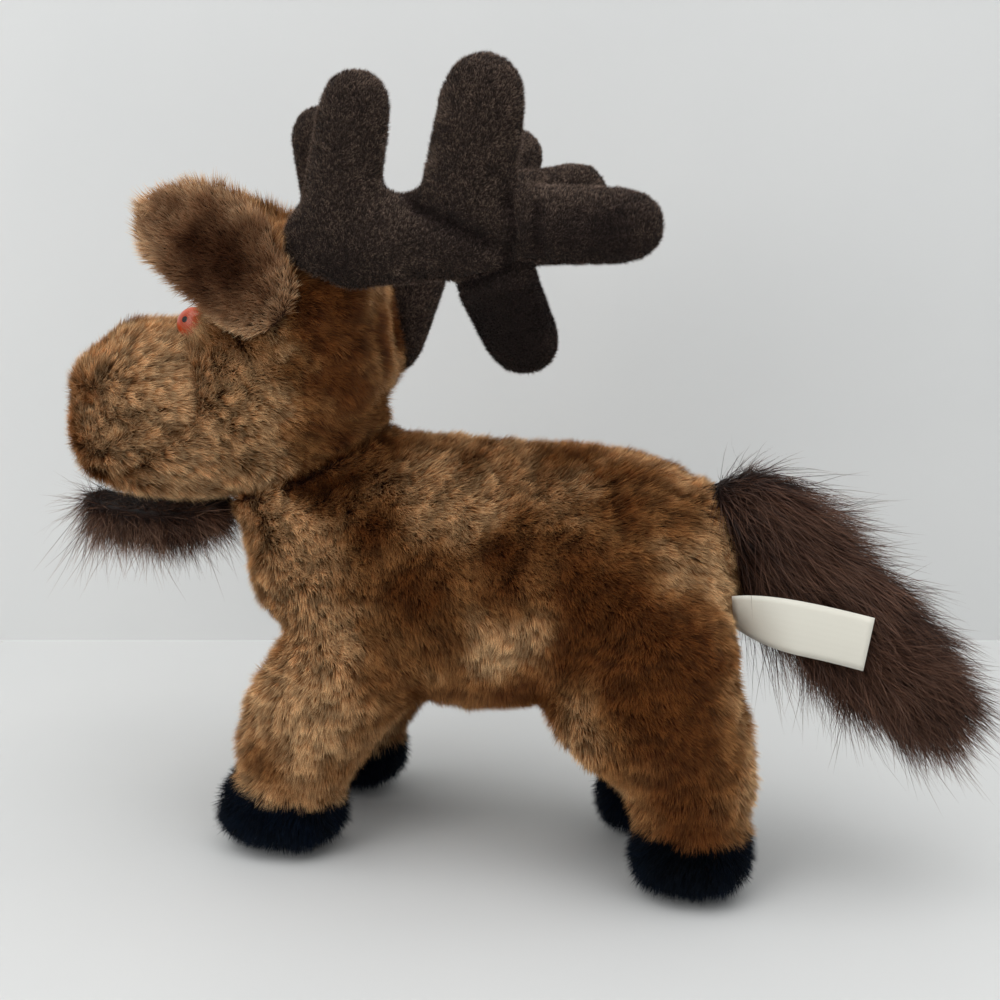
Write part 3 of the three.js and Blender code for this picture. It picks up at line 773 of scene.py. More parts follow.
    def brush(self, view: PhotoView, strokes: tuple[Stroke, ...], radius: float, mirror: "Mirror") -> None:
        """Combs the coat along strokes, alike on both sides. Each reaches that far round its middle."""
        for stroke in strokes:
            ends = self.behind(view, (stroke.start, stroke.end))
            if len(ends) < 2:
                continue
            for start, end in (ends, [mirror.twin(place) for place in ends]):
                weight = self.STROKE_WEIGHT * self.nearness([(start + end) / 2], radius)
                self.comb += weight[:, None] * np.array((end - start).normalized())

    def ruffle(self, size: float, amount: float, seed: float) -> None:
        """Turns the comb this way and that with noise of that size."""
        self.comb /= np.linalg.norm(self.comb, axis=1)[:, None]
        offset = Vector((seed, -seed, seed * 0.3))
        swirl = [noise.noise_vector(Vector(place) + offset) for place in points_of(self.mesh) / size]
        self.comb += amount * np.array(swirl)

    def seam(self, first: str, second: str, width: float) -> np.ndarray:
        """How near each vertex is to the seam between two CAD nodes: one at it, fading to zero."""
        gaps = []
        for name in (first, second):
            panel = bmesh.new()
            panel.from_mesh(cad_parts[name].data)
            tree = BVHTree.FromBMesh(panel)
            panel.free()
            gaps.append(np.array([tree.find_nearest(vertex.co)[3] for vertex in self.mesh.vertices]))
        return np.exp(-(((gaps[0] - gaps[1]) / width) ** 2))

    def puff(self, pressure: float, cap: float, held: np.ndarray, scale: float = 10.0) -> None:
        """Blows the skin up as cloth over a filling, and keeps the form that it takes.

        Args:
            pressure: Pressure of the filling.
            cap: How far a vertex may move, in metres.
            held: How firmly each vertex stays, zero to one.
            scale: How much larger the cloth is simulated.
        """
        start = points_of(self.mesh)
        trial = new_object("filled", self.mesh.copy())
        put_points(trial.data, start * scale)
        pins = trial.vertex_groups.new(name="seams")
        for index in np.flatnonzero(held > self.FREE):
            pins.add([int(index)], float(held[index]), "REPLACE")
        cloth = trial.modifiers.new("filling", "CLOTH")
        cloth.settings.use_pressure = True
        cloth.settings.uniform_pressure_force = pressure
        cloth.settings.effector_weights.gravity = 0.0
        cloth.settings.vertex_group_mass = "seams"
        cloth.point_cache.frame_end = self.FILL_FRAMES
        for step in range(self.FILL_FRAMES):
            bpy.context.scene.frame_set(step + 1)
        move = points_of(evaluated(trial)) / scale - start
        bpy.context.scene.frame_set(1)
        far = np.linalg.norm(move, axis=1)
        LOG.info("filling moved the skin %.2f mm at most, %.2f mm in the mean", far.max() / MM, far.mean() / MM)
        put_points(self.mesh, start + move * np.minimum(1, cap / np.maximum(far, 1e-9))[:, None])

    def flatten_comb(self) -> None:
        """Lays the comb along the skin, so that every blade leans alike."""
        normals = normals_of(self.mesh)
        self.comb -= normals * (self.comb * normals).sum(1)[:, None]
        self.comb /= np.maximum(np.linalg.norm(self.comb, axis=1), self.SHORTEST_COMB)[:, None]

    def regions(self) -> dict[str, bpy.types.Mesh]:
        """The skin in parts, one for each CAD node that lies over it, with the pile's attributes."""
        for name, kind, values in (("shade", "FLOAT", self.shade), ("reach", "FLOAT", self.reach),
                                   ("lay", "FLOAT", self.lay), ("comb", "FLOAT_VECTOR", self.comb)):
            values = np.clip(values, 0.0, self.ATTRIBUTE_LIMIT) if kind == "FLOAT" else values
            attribute = self.mesh.attributes.new(name, kind, "POINT")
            attribute.data.foreach_set("value" if kind == "FLOAT" else "vector", values.astype(np.float32).ravel())
        owner = []
        for face in self.mesh.polygons:
            found = self.outline.find_nearest(face.center + face.normal * self.inset)
            owner.append(self.owners[found[2]])
        parts = {}
        for name in sorted(set(owner)):
            part = bmesh.new()
            part.from_mesh(self.mesh)
            part.faces.ensure_lookup_table()
            others = [face for face in part.faces if owner[face.index] != name]
            bmesh.ops.delete(part, geom=others, context="FACES")
            parts[name] = bpy.data.meshes.new(f"{name}_ground")
            part.to_mesh(parts[name])
            part.free()
        return parts

    def piece(self, name: str, finish: bpy.types.Material) -> bpy.types.Object:
        """The skin as a finished object."""
        piece = new_object(name, self.mesh)
        self.mesh.materials.clear()
        self.mesh.materials.append(finish)
        self.mesh.shade_smooth()
        return piece


@dataclass(frozen=True)
class Mirror:
    """A plane that a body is alike on both sides of."""

    point: Vector
    normal: Vector

    def twin(self, place: Vector) -> Vector:
        """The place on the other side."""
        return place - 2 * (place - self.point).dot(self.normal) * self.normal


@dataclass(frozen=True)
class Pile:
    """How a pile grows.

    Attributes:
        length: Length of a blade, in metres.
        width: Width of a blade at its root, in metres.
        density: Blades on each square millimetre.
        lean: Lean from upright towards the comb, in degrees.
        frizz: How far single blades stray from that.
        tuft_size: Size of the tufts that the tips draw into, in metres.
        tuft: How far the tips draw in, as a share.
        flutter: How far whole tufts bend about, as a share of the length.
        curl: How far single blades bend about, as a share of the length.
        mottle: How much of a blade's tone its whole tuft shares.
        shortest: The shortest blade's share of the length.
        rows: Height, bend and width shares of the blade's rows, from its root to its tip.
    """

    length: float
    width: float
    density: float
    lean: float
    frizz: float = 0.25
    tuft_size: float = 2 * MM
    tuft: float = 0.5
    flutter: float = 0.25
    curl: float = 0.0
    mottle: float = 0.5
    shortest: float = 0.72
    rows: tuple[tuple[float, float, float], ...] = ((0, 0, 1), (1, 0.25, 0))

    @property
    def corners(self) -> int:
        """Vertices of one blade."""
        return 2 * (len(self.rows) - 1) + 1

    def blade(self) -> bpy.types.Object:
        """One blade of unit length and width, which rises along Z and bends towards Y."""
        places, along = [], []
        for share, bend, width in self.rows:
            ends = (-0.5, 0.5) if width > 0 else (0.0,)
            places += [(end * width, bend, share) for end in ends]
            along += [share] * len(ends)
        last = len(places) - 1
        faces = [(k, k + 1, k + 3, k + 2) for k in range(0, last - 2, 2)] + [(last - 2, last - 1, last)]
        mesh = bpy.data.meshes.new("blade")
        mesh.from_pydata(places, [], faces)
        mesh.attributes.new("along", "FLOAT", "POINT").data.foreach_set("value", along)
        return new_object("blade", mesh)


class PileGrower:
    """Grows piles by Geometry Nodes."""

    SPENT = ("bend", "comb", "lay", "reach")
    MEASURES = ("Density", "Length", "Width", "Lean", "Frizz", "Tuft Size", "Tuft", "Flutter", "Curl", "Mottle",
                "Shortest")

    def __init__(self) -> None:
        """Builds the node tree."""
        self.tree = bpy.data.node_groups.new("pile", "GeometryNodeTree")
        self.grown = 0
        kinds = {"Ground": "Geometry", "Blade": "Object", "Finish": "Material", "Seed": "Int"}
        kinds |= {name: "Float" for name in self.MEASURES}
        self.sockets = {
            name: self.tree.interface.new_socket(name, in_out="INPUT", socket_type=f"NodeSocket{kind}").identifier
            for name, kind in kinds.items()
        }
        self.tree.interface.new_socket("Pile", in_out="OUTPUT", socket_type="NodeSocketGeometry")
        self.build()

    def build(self) -> None:
        """Scatters points on the ground, stands a blade on each and draws the tips into tufts."""
        sketch = NodeSketch(self.tree)
        given = sketch.add("NodeGroupInput").outputs
        spots = sketch.add("GeometryNodeDistributePointsOnFaces", {
            "Mesh": given["Ground"], "Density": given["Density"], "Seed": given["Seed"]})
        normal = spots.outputs["Normal"]
        comb, reach, lay = sketch.named("comb", "FLOAT_VECTOR"), sketch.named("reach"), sketch.named("lay")
        root = sketch.add("GeometryNodeInputPosition").outputs[0]
        lean = sketch.sum("MULTIPLY", given["Lean"], lay)
        upright = sketch.scaled(normal, sketch.sum("COSINE", lean))
        leaning = sketch.scaled(comb, sketch.sum("SINE", lean))
        stray = sketch.scaled(sketch.way(given["Seed"]), given["Frizz"])
        aim = sketch.vector("ADD", {0: upright, 1: leaning})
        aim = sketch.vector("NORMALIZE", {0: sketch.vector("ADD", {0: aim, 1: stray})})
        face = sketch.add("FunctionNodeAlignRotationToVector", {"Vector": aim}, axis="Z").outputs[0]
        face = sketch.add("FunctionNodeAlignRotationToVector", {
            "Rotation": face, "Vector": comb}, axis="Y", pivot_axis="Z").outputs[0]
        spin = sketch.chance(-1.1, 1.1, given["Seed"])
        turn = sketch.add("FunctionNodeAxisAngleToRotation", {"Axis": (0.0, 0.0, 1.0), "Angle": spin}).outputs[0]
        face = sketch.add("FunctionNodeRotateRotation", {
            "Rotation": face, "Rotate By": turn}, rotation_space="LOCAL").outputs[0]
        chance = sketch.chance(given["Shortest"], 1.08, sketch.sum("ADD", given["Seed"], 7.0))
        length = sketch.sum("MULTIPLY", sketch.sum("MULTIPLY", given["Length"], chance), reach)
        size = sketch.add("ShaderNodeCombineXYZ", {0: given["Width"], 1: length, 2: length}).outputs[0]
        cell = sketch.add("ShaderNodeTexVoronoi", {
            "Vector": root, "Scale": sketch.sum("DIVIDE", 1.0, given["Tuft Size"])}).outputs
        inward = sketch.vector("SUBTRACT", {0: cell["Position"], 1: root})
        height = sketch.vector("DOT_PRODUCT", {0: inward, 1: normal})
        inward = sketch.vector("SUBTRACT", {0: inward, 1: sketch.scaled(normal, height)})
        inward = sketch.scaled(inward, sketch.sum("MULTIPLY", given["Tuft"], lay))
        drift = sketch.add("ShaderNodeTexNoise", {
            "Vector": root, "Scale": sketch.sum("DIVIDE", 0.35, given["Tuft Size"]), "Detail": 1.0}).outputs["Color"]
        drift = sketch.vector("SUBTRACT", {0: drift, 1: (0.5, 0.5, 0.5)})
        drift = sketch.scaled(drift, sketch.sum("MULTIPLY", given["Flutter"], length))
        drift = sketch.scaled(drift, lay)
        bend = sketch.vector("ADD", {0: inward, 1: drift})
        curl = sketch.way(sketch.sum("ADD", given["Seed"], 11.0))
        curl = sketch.scaled(curl, sketch.sum("MULTIPLY", given["Curl"], length))
        bend = sketch.vector("ADD", {0: bend, 1: curl})
        single = sketch.chance(0.0, 1.0, sketch.sum("ADD", given["Seed"], 3.0))
        shared = sketch.add("ShaderNodeSeparateXYZ", {0: cell["Color"]}).outputs[0]
        tone = sketch.add("ShaderNodeMix", {0: given["Mottle"], 2: single, 3: shared}, data_type="FLOAT").outputs[0]
        marked = sketch.add("GeometryNodeStoreNamedAttribute", {
            "Geometry": spots.outputs["Points"], "Name": "bend", "Value": bend}, data_type="FLOAT_VECTOR").outputs[0]
        marked = sketch.add("GeometryNodeStoreNamedAttribute", {
            "Geometry": marked, "Name": "tone", "Value": tone}, data_type="FLOAT").outputs[0]
        blade = sketch.add("GeometryNodeObjectInfo", {"Object": given["Blade"]}).outputs["Geometry"]
        stood = sketch.add("GeometryNodeInstanceOnPoints", {
            "Points": marked, "Instance": blade, "Rotation": face, "Scale": size}).outputs[0]
        real = sketch.add("GeometryNodeRealizeInstances", {"Geometry": stood}).outputs[0]
        rise = sketch.sum("POWER", sketch.named("along"), 1.6)
        offset = sketch.scaled(sketch.named("bend", "FLOAT_VECTOR"), rise)
        drawn = sketch.add("GeometryNodeSetPosition", {"Geometry": real, "Offset": offset}).outputs[0]
        done = sketch.add("GeometryNodeSetMaterial", {"Geometry": drawn, "Material": given["Finish"]}).outputs[0]
        sketch.add("NodeGroupOutput", {0: done})

    def grow(self, name: str, ground: bpy.types.Mesh, pile: Pile, finish: bpy.types.Material) -> bpy.types.Object:
        """Grows one piece of pile.

        Args:
            name: The piece's name.
            ground: The part of a skin that it grows on.
            pile: How it grows.
            finish: Its material.

        Returns:
            The pile as a plain mesh object.
        """
        self.grown += 1
        blade, rough = pile.blade(), new_object(name, ground)
        modifier = rough.modifiers.new("pile", "NODES")
        modifier.node_group = self.tree
        values = {label: getattr(pile, label.lower().replace(" ", "_")) for label in self.MEASURES}
        values |= {"Blade": blade, "Finish": finish, "Seed": self.grown,
                   "Density": pile.density / MM**2, "Lean": math.radians(pile.lean)}
        for label, value in values.items():
            modifier[self.sockets[label]] = value
        mesh = evaluated(rough)
        bpy.data.objects.remove(blade)
        mesh.name = name
        for spent in self.SPENT:
            if spent in mesh.attributes:
                mesh.attributes.remove(mesh.attributes[spent])
        self.lay_cells(mesh, pile)
        LOG.info("%s: %d blades, %d triangles", name, len(mesh.vertices) // pile.corners,
                 sum(len(face.vertices) - 2 for face in mesh.polygons[:pile.corners // 2])
                 * (len(mesh.vertices) // pile.corners))
        return new_object(name, mesh)

    @staticmethod
    def lay_cells(mesh: bpy.types.Mesh, pile: Pile) -> None:
        """Gives each blade a cell of its own in a UV map named OFBake."""
        count = len(mesh.vertices) // pile.corners
        if not count:
            return
        across = math.ceil(math.sqrt(count))
        corner = np.zeros(len(mesh.loops), np.int32)
        mesh.loops.foreach_get("vertex_index", corner)
        blade, place = corner // pile.corners, corner % pile.corners
        side = np.where(place == pile.corners - 1, 0.5, 0.2 + 0.6 * (place % 2))
        rise = 0.1 + 0.8 * (place // 2) / (len(pile.rows) - 1)
        cells = np.stack([(blade % across + side) / across, (blade // across + rise) / across], 1)
        mesh.uv_layers.new(name="OFBake").data.foreach_set("uv", cells.astype(np.float32).ravel())


@dataclass
class Workshop:
    """What every sub-assembly is made with."""

    view: PhotoView
    groups: ShaderGroups
    grower: PileGrower
    finishes: dict[str, bpy.types.Material] = field(default_factory=dict)

    def finish(self, finish: PileFinish | ClothFinish | SatinFinish) -> bpy.types.Material:
        """A finish's material, built the first time."""
        if finish.name not in self.finishes:
            self.finishes[finish.name] = finish.build(self.groups)
        return self.finishes[finish.name]

    def dress(self, piece: bpy.types.Object, body: str, slot: str, *nodes: str) -> bpy.types.Object:
        """Makes a piece ride on its body and hides the CAD nodes that it stands for.

        Args:
            piece: The piece.
            body: The CAD body that it moves with.
            slot: The record's material slot; not used.
            *nodes: The CAD nodes that it stands for.

        Returns:
            The piece.
        """
        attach(piece, body)
        if nodes:
            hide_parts(*nodes)
        return piece

    def cover(self, skin: Skin, body: str, coats: dict[str, tuple], ending: str = "pile") -> list[bpy.types.Object]:
        """Grows the pile of each CAD node that has one on its part of a skin.

        Args:
            skin: The skin.
            body: The CAD body that it moves with.
            coats: The pile, finish and material slot of each node.
            ending: What the pieces' names end in.

        Returns:
            The piles.
        """
        pieces = []
        for name, ground in skin.regions().items():
            if name in coats:
                pile, finish, slot = coats[name]
                piece = self.grower.grow(f"{name}_{ending}", ground, pile, self.finish(finish))
                pieces.append(self.dress(piece, body, slot, name))
        return pieces


PLUSH = PileFinish("plush_pile", srgb(66, 36, 16), srgb(168, 116, 70), srgb(242, 204, 152),
                   dusk=(0.27, 0.145, 0.066), spread=1.25)
# The muzzle's plush: the same colours with lighter roots and middles, painted light for the light on the muzzle's
# front.
LIT_MUZZLE = PileFinish("lit_muzzle_pile", srgb(96, 60, 35), srgb(184, 132, 84), srgb(246, 210, 160),
                    dusk=(0.27, 0.145, 0.066), spread=1.25)
SHORN = PileFinish("shorn_pile", srgb(74, 48, 30), srgb(206, 158, 114), srgb(253, 222, 178),
                   dusk=(0.17, 0.1, 0.075), spread=0.8)
HOOF = PileFinish("hoof_pile", srgb(0, 2, 5), srgb(0, 7, 17), srgb(3, 21, 42), roughness=0.6, specular=0.1)
HAIR = PileFinish("long_hair", srgb(34, 19, 13), srgb(64, 40, 29), srgb(116, 84, 67), dusk=(0.45, 0.38, 0.36),
                  spread=1.1, roughness=0.5)
NAP = PileFinish("fleece_nap", srgb(32, 24, 20), srgb(84, 67, 57), srgb(180, 156, 138), dusk=(0.2, 0.19, 0.23),
                 spread=1.7, specular=0.12)
BEARD_HAIR = PileFinish("beard_hair", srgb(38, 21, 13), srgb(92, 64, 48), srgb(156, 122, 100), dusk=(0.3, 0.23, 0.2),
                        spread=1.1, roughness=0.5)
PLUSH_BACKING = ClothFinish("plush_backing", srgb(52, 26, 10))
HAIR_BACKING = ClothFinish("hair_backing", srgb(34, 19, 12))
FLEECE = ClothFinish("fleece", srgb(40, 31, 27), grain_size=0.7 * MM, grain=0.9, bump=0.25 * MM)


@dataclass
class Coated:
    """A stuffed skin under a coat that is alike on both sides of a mirror.

    Attributes:
        pressure: Pressure of the filling.
        fill_cap: How far the filling may move the skin, in metres.
        held: How firmly the skin is held where it meets its neighbours.
        dusk_level: How dusky the coat is before its patches.
        dusk_kept: The share of that which stays.
        contrast: How far the patches and the cloud stand out.
        part_out: How far the coat is combed away from the mirror.
        cloud: Size, amount and seed of the clouds in the coat's shade.
        swirl: Size, amount and seed of the turns in its comb.
        stroke_radius: How far round its middle a stroke reaches, in metres.
        flat: How flat the coat lies where it is light.
        stood: How much less flat it lies where it is dusky.
        duskiest: The shade from which it stands up no more.
        creases: Creases cut into the skin, with painted shade in them.
        patches: Lighter and duskier patches, partly the coat's own tone and partly painted shade.
        strokes: Strokes of the brush.
        swells: Where the skin is fuller than its outline.
        drags: Pulls on its outline.
    """

    pressure: float = 4.0
    fill_cap: float = 1.0 * MM
    held: float = 0.9
    dusk_level: float = 0.3
    dusk_kept: float = 0.75
    contrast: float = 1.3
    part_out: float = 0.35
    cloud: tuple[float, float, float] = (9 * MM, 0.24, 3.0)
    swirl: tuple[float, float, float] = (7 * MM, 0.7, 2.0)
    stroke_radius: float = 9 * MM
    flat: float = 1.3
    stood: float = 0.6
    duskiest: float = 1.2
    creases: tuple[Crease, ...] = ()
    patches: tuple[Patch, ...] = ()
    strokes: tuple[Stroke, ...] = ()
    swells: tuple[Swell, ...] = ()
    drags: tuple[Drag, ...] = ()

    def shape(self, skin: Skin, view: PhotoView, mirror: Mirror) -> None:
        """Shapes the skin and paints its coat: patches partly of its own tone and partly of painted shade, and
        painted shade in its creases.
        """
        skin.swell(view, self.swells, mirror)
        skin.drag(view, self.drags, mirror)
        skin.shade += self.dusk_level
        skin.press(view, self.creases, mirror)
        skin.add_patches(view, self.patches, mirror)
        skin.add_cloud(*self.cloud)
        skin.shade = self.contrast * (skin.shade - self.dusk_level) + self.dusk_kept * self.dusk_level

    def groom(self, skin: Skin, view: PhotoView, mirror: Mirror) -> None:
        """Brushes the coat, which stands up more where it is dusky."""
        skin.brush(view, self.strokes, self.stroke_radius, mirror)
        skin.ruffle(*self.swirl)
        skin.flatten_comb()
        skin.lay = self.flat - self.stood * np.clip(skin.shade, 0, self.duskiest)


@dataclass
class Body(Coated):
    """Torso, legs and hooves: one stuffed skin with the pile of each cover on it."""

    voxel: float = 2.2 * MM
    inset: float = 4.4 * MM
    middle: float = -17.549 * MM
    belly: float = 52 * MM
    touching: tuple[str, ...] = ("head_cover_left", "head_cover_right", "muzzle_cover", "tail_pile", "label_ribbon")
    coat: Pile = Pile(5.6 * MM, 0.22 * MM, 15.5, 32, frizz=0.22, tuft_size=2.0 * MM, tuft=0.55, flutter=0.65,
                      mottle=0.72, shortest=0.8)
    hoof_coat: Pile = Pile(5.4 * MM, 0.26 * MM, 9.0, 30, frizz=0.3, tuft_size=1.8 * MM, tuft=0.4, flutter=0.4)
    sole_height: float = 4 * MM
    belly_fade: float = 20 * MM
    upper_comb: Way = (0.9, 0, -0.35)
    lower_comb: Way = (-0.3, 0, -0.9)
    # Partly the coat's own tone and partly painted shade: under the jaw at the neck and on the belly's underside.
    patches: tuple[Patch, ...] = Patch.rows(
        (330, 490, 9, 0.6), (400, 605, 11, 0.6), (425, 560, 12, 0.35), (450, 640, 8, 0.4), (545, 545, 14, 0.5),
        (590, 575, 11, 0.4), (612, 612, 11, 0.7), (645, 650, 11, 0.6), (690, 672, 10, 0.5), (620, 505, 11, 0.5),
        (555, 462, 8, 0.5), (690, 800, 14, 0.6), (680, 730, 12, 0.45), (640, 480, 9, 0.35), (490, 590, 10, 0.35),
        (270, 560, 14, -0.5), (300, 620, 11, -0.3), (285, 680, 14, -0.5), (330, 730, 11, -0.3), (500, 643, 9, -0.6),
        (480, 682, 8, -0.4), (655, 560, 9, -0.3), (700, 590, 9, -0.35), (565, 730, 10, -0.5), (470, 510, 10, -0.1),
        (440, 438, 8, -0.4), (745, 770, 8, -0.6), (670, 465, 6, -0.4), (600, 690, 7, -0.2), (290, 480, 6, 0.7),
        (292, 600, 7, -0.15), (375, 525, 8, 0.25), (335, 575, 9, 0.25), (490, 545, 8, 0.3), (575, 530, 12, -0.3),
        (670, 545, 13, 0.2), (530, 600, 8, -0.25), (572, 650, 7, 0.4), (530, 676, 7, 1.0), (375, 680, 10, 0.4),
        (480, 672, 7, 0.3), (268, 522, 8, -0.6), (290, 700, 12, 0.15), (690, 600, 7, 0.3), (610, 690, 9, 0.3),
        (350, 740, 11, 0.35), (265, 752, 8, 0.25), (640, 745, 12, 0.2), (690, 682, 7, -0.2), (450, 620, 8, -0.2),
        (452, 515, 10, -0.35), (410, 512, 9, -0.2), (570, 495, 10, -0.25), (655, 480, 9, -0.3), (692, 478, 7, -0.3),
        (292, 602, 9, -0.7), (295, 645, 9, -0.6), (283, 570, 8, -0.5), (370, 520, 7, 0.4), (370, 445, 7, 0.5),
        (442, 682, 8, 0.4), (488, 688, 8, 0.6), (530, 685, 8, 0.5), (572, 640, 8, 0.35), (680, 640, 10, 0.4),
        (650, 690, 9, 0.3), (410, 685, 7, 0.35), (690, 845, 8, 0.4), (268, 487, 6, 0.9), (305, 486, 7, 0.5),
        (262, 562, 8, -0.6), (330, 520, 8, -0.2), (735, 640, 7, -0.5), (370, 600, 8, -0.2), (730, 560, 6, 0.3),
        (265, 545, 8, -0.3),
    )
    strokes: tuple[Stroke, ...] = Stroke.rows(
        (260, 520, 300, 528), (265, 580, 300, 600), (380, 560, 400, 590), (300, 660, 280, 700), (330, 690, 318, 730),
        (270, 720, 262, 760), (530, 630, 505, 668), (480, 665, 455, 690), (470, 490, 505, 500), (600, 560, 640, 575),
        (680, 560, 705, 600), (690, 660, 700, 710), (590, 720, 575, 750), (680, 780, 676, 825), (620, 640, 612, 685),
    )
    swells: tuple[Swell, ...] = Swell.rows(
        (300, 690, 12, 2.5), (612, 745, 12, 2.5), (275, 520, 8, 2.0),
    )
    drags: tuple[Drag, ...] = Drag.rows(
        (262, 685, 247, 684, 36), (246, 735, 235, 735, 26), (548, 725, 533, 722, 28), (580, 765, 568, 766, 24),
        (252, 512, 241, 503, 18), (470, 694, 470, 704, 60), (746, 740, 753, 740, 44),
    )

    def build(self, shop: Workshop) -> list[bpy.types.Object]:
        """Builds the skin and its piles."""
        legs = [f"{end}leg_cover_{side.value}" for end in ("fore", "hind") for side in Side]
        hooves = [f"{end}hoof_{side.value}" for end in ("fore", "hind") for side in Side]
        covers = [f"torso_cover_{side.value}" for side in Side] + legs + hooves
        skin = Skin(covers + ["body_stuffing"], self.voxel, self.inset, touching=self.touching)
        mirror = Mirror(Vector((0, self.middle, 0)), Vector((0, 1, 0)))
        sole = np.clip(1 - (points_of(skin.mesh)[:, 2] - self.inset) / self.sole_height, 0, 1)
        skin.puff(self.pressure, self.fill_cap, np.maximum(sole, self.held * (1 - skin.apart)))
        self.shape(skin, shop.view, mirror)
        places = points_of(skin.mesh)
        low = np.clip((self.belly - places[:, 2]) / self.belly_fade, 0, 1)[:, None]
        skin.comb = (1 - low) * np.array(self.upper_comb) + low * np.array(self.lower_comb)
        skin.comb[:, 1] += (1 - low[:, 0]) * self.part_out * np.sign(places[:, 1] - self.middle)
        self.groom(skin, shop.view, mirror)
        coats = {name: (self.coat, PLUSH, "plush") for name in covers}
        coats |= {name: (self.hoof_coat, HOOF, "hoof_plush") for name in hooves}
        pieces = shop.cover(skin, "body", coats)
        piece = skin.piece("body_skin", shop.finish(PLUSH_BACKING))
        return [*pieces, shop.dress(piece, "body", "plush", "body_stuffing")]


@dataclass
class Eye:
    """One safety eye: a glossy dome on its shank, turned about the axis that its CAD node has."""

    side: Side
    radius: float = 4.5 * MM
    rim: float = 1.0 * MM
    dome: float = 3.4 * MM
    sunk: float = 3.3 * MM
    washer_radius: float = 3.2 * MM
    washer_depth: float = 6.0 * MM
    shank_radius: float = 1.5 * MM
    shank_length: float = 8.0 * MM
    turns: int = 48
    rings: int = 14

    def __post_init__(self) -> None:
        """Finds the eye's axis, and the middle of its back, from its top and its washer."""
        eye, washer = (points_of(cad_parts[f"{part}_{self.side.value}"].data) for part in ("eye", "eye_washer"))
        inside = washer.mean(0)
        top = Vector(eye[np.linalg.norm(eye - inside, axis=1).argmax()])
        self.outward = (top - Vector(inside)).normalized()
        self.middle = top - self.outward * (self.rim + self.dome + self.sunk)

    def under(self, places: np.ndarray) -> np.ndarray:
        """Which of those places lie under the eye."""
        apart = places - np.array(self.middle)
        height = apart @ np.array(self.outward)
        beside = np.linalg.norm(apart - height[:, None] * np.array(self.outward), axis=1)
        return (beside < self.radius * 0.9) & (np.abs(height) < 2 * self.radius)

    def build(self, shop: Workshop) -> list[bpy.types.Object]:
        """Turns the eye and gives its washer a finish.

        Args:
            shop: What the pieces are made with.

        Returns:
            The eye.
        """
        profile = [(0.0, -self.shank_length), (self.shank_radius, -self.shank_length), (self.shank_radius, 0.0),
                   (self.radius * 0.97, 0.0), (self.radius, self.rim * 0.3)]
        for k in range(self.rings):
            angle = math.pi / 2 * k / (self.rings - 1)
            profile.append((self.radius * math.cos(angle), self.rim + self.dome * math.sin(angle)))
        profile[-1] = (0.0, self.rim + self.dome)
        finish = AmberFinish(f"amber_{self.side.value}", self.middle, self.outward).build()
        dome = self.turned("eye_dome", profile, finish)
        low, high = -self.washer_depth, 1 * MM - self.washer_depth
        inner, outer = self.shank_radius + 0.05 * MM, self.washer_radius
        profile = [(inner, low), (outer, low), (outer, high), (inner, high), (inner, low)]
        nylon = shop.finish(ClothFinish("nylon", srgb(232, 232, 228), roughness=0.5))
        washer = self.turned("eye_lock", profile, nylon)
        return [shop.dress(dome, "head", "amber_plastic", f"eye_{self.side.value}"),
                shop.dress(washer, "head", "nylon", f"eye_washer_{self.side.value}")]

    def turned(self, name: str, profile: list[tuple[float, float]], finish: bpy.types.Material) -> bpy.types.Object:
        """Turns a profile about the eye's axis.

        Args:
            name: The piece's name, without its side.
            profile: Radius and height of each ring.
            finish: Its material.

        Returns:
            The piece.
        """
        turn = Vector((0, 0, 1)).rotation_difference(self.outward)
        work, rows = bmesh.new(), []
        for radius, height in profile:
            angles = [0.0] if radius == 0 else [2 * math.pi * k / self.turns for k in range(self.turns)]
            places = [Vector((radius * math.cos(a), radius * math.sin(a), height)) for a in angles]
            rows.append([work.verts.new(self.middle + turn @ place) for place in places])
        for lower, upper in zip(rows, rows[1:]):
            for k in range(self.turns):
                ring = [lower[k % len(lower)], lower[(k + 1) % len(lower)],
                        upper[(k + 1) % len(upper)], upper[k % len(upper)]]
                work.faces.new(list(dict.fromkeys(ring)))
        bmesh.ops.remove_doubles(work, verts=work.verts, dist=1e-7)
        bmesh.ops.recalc_face_normals(work, faces=work.faces)
        mesh = bpy.data.meshes.new(name)
        work.to_mesh(mesh)
        work.free()
        mesh.shade_smooth()
        mesh.materials.append(finish)
        return new_object(f"{name}_{self.side.value}", mesh)


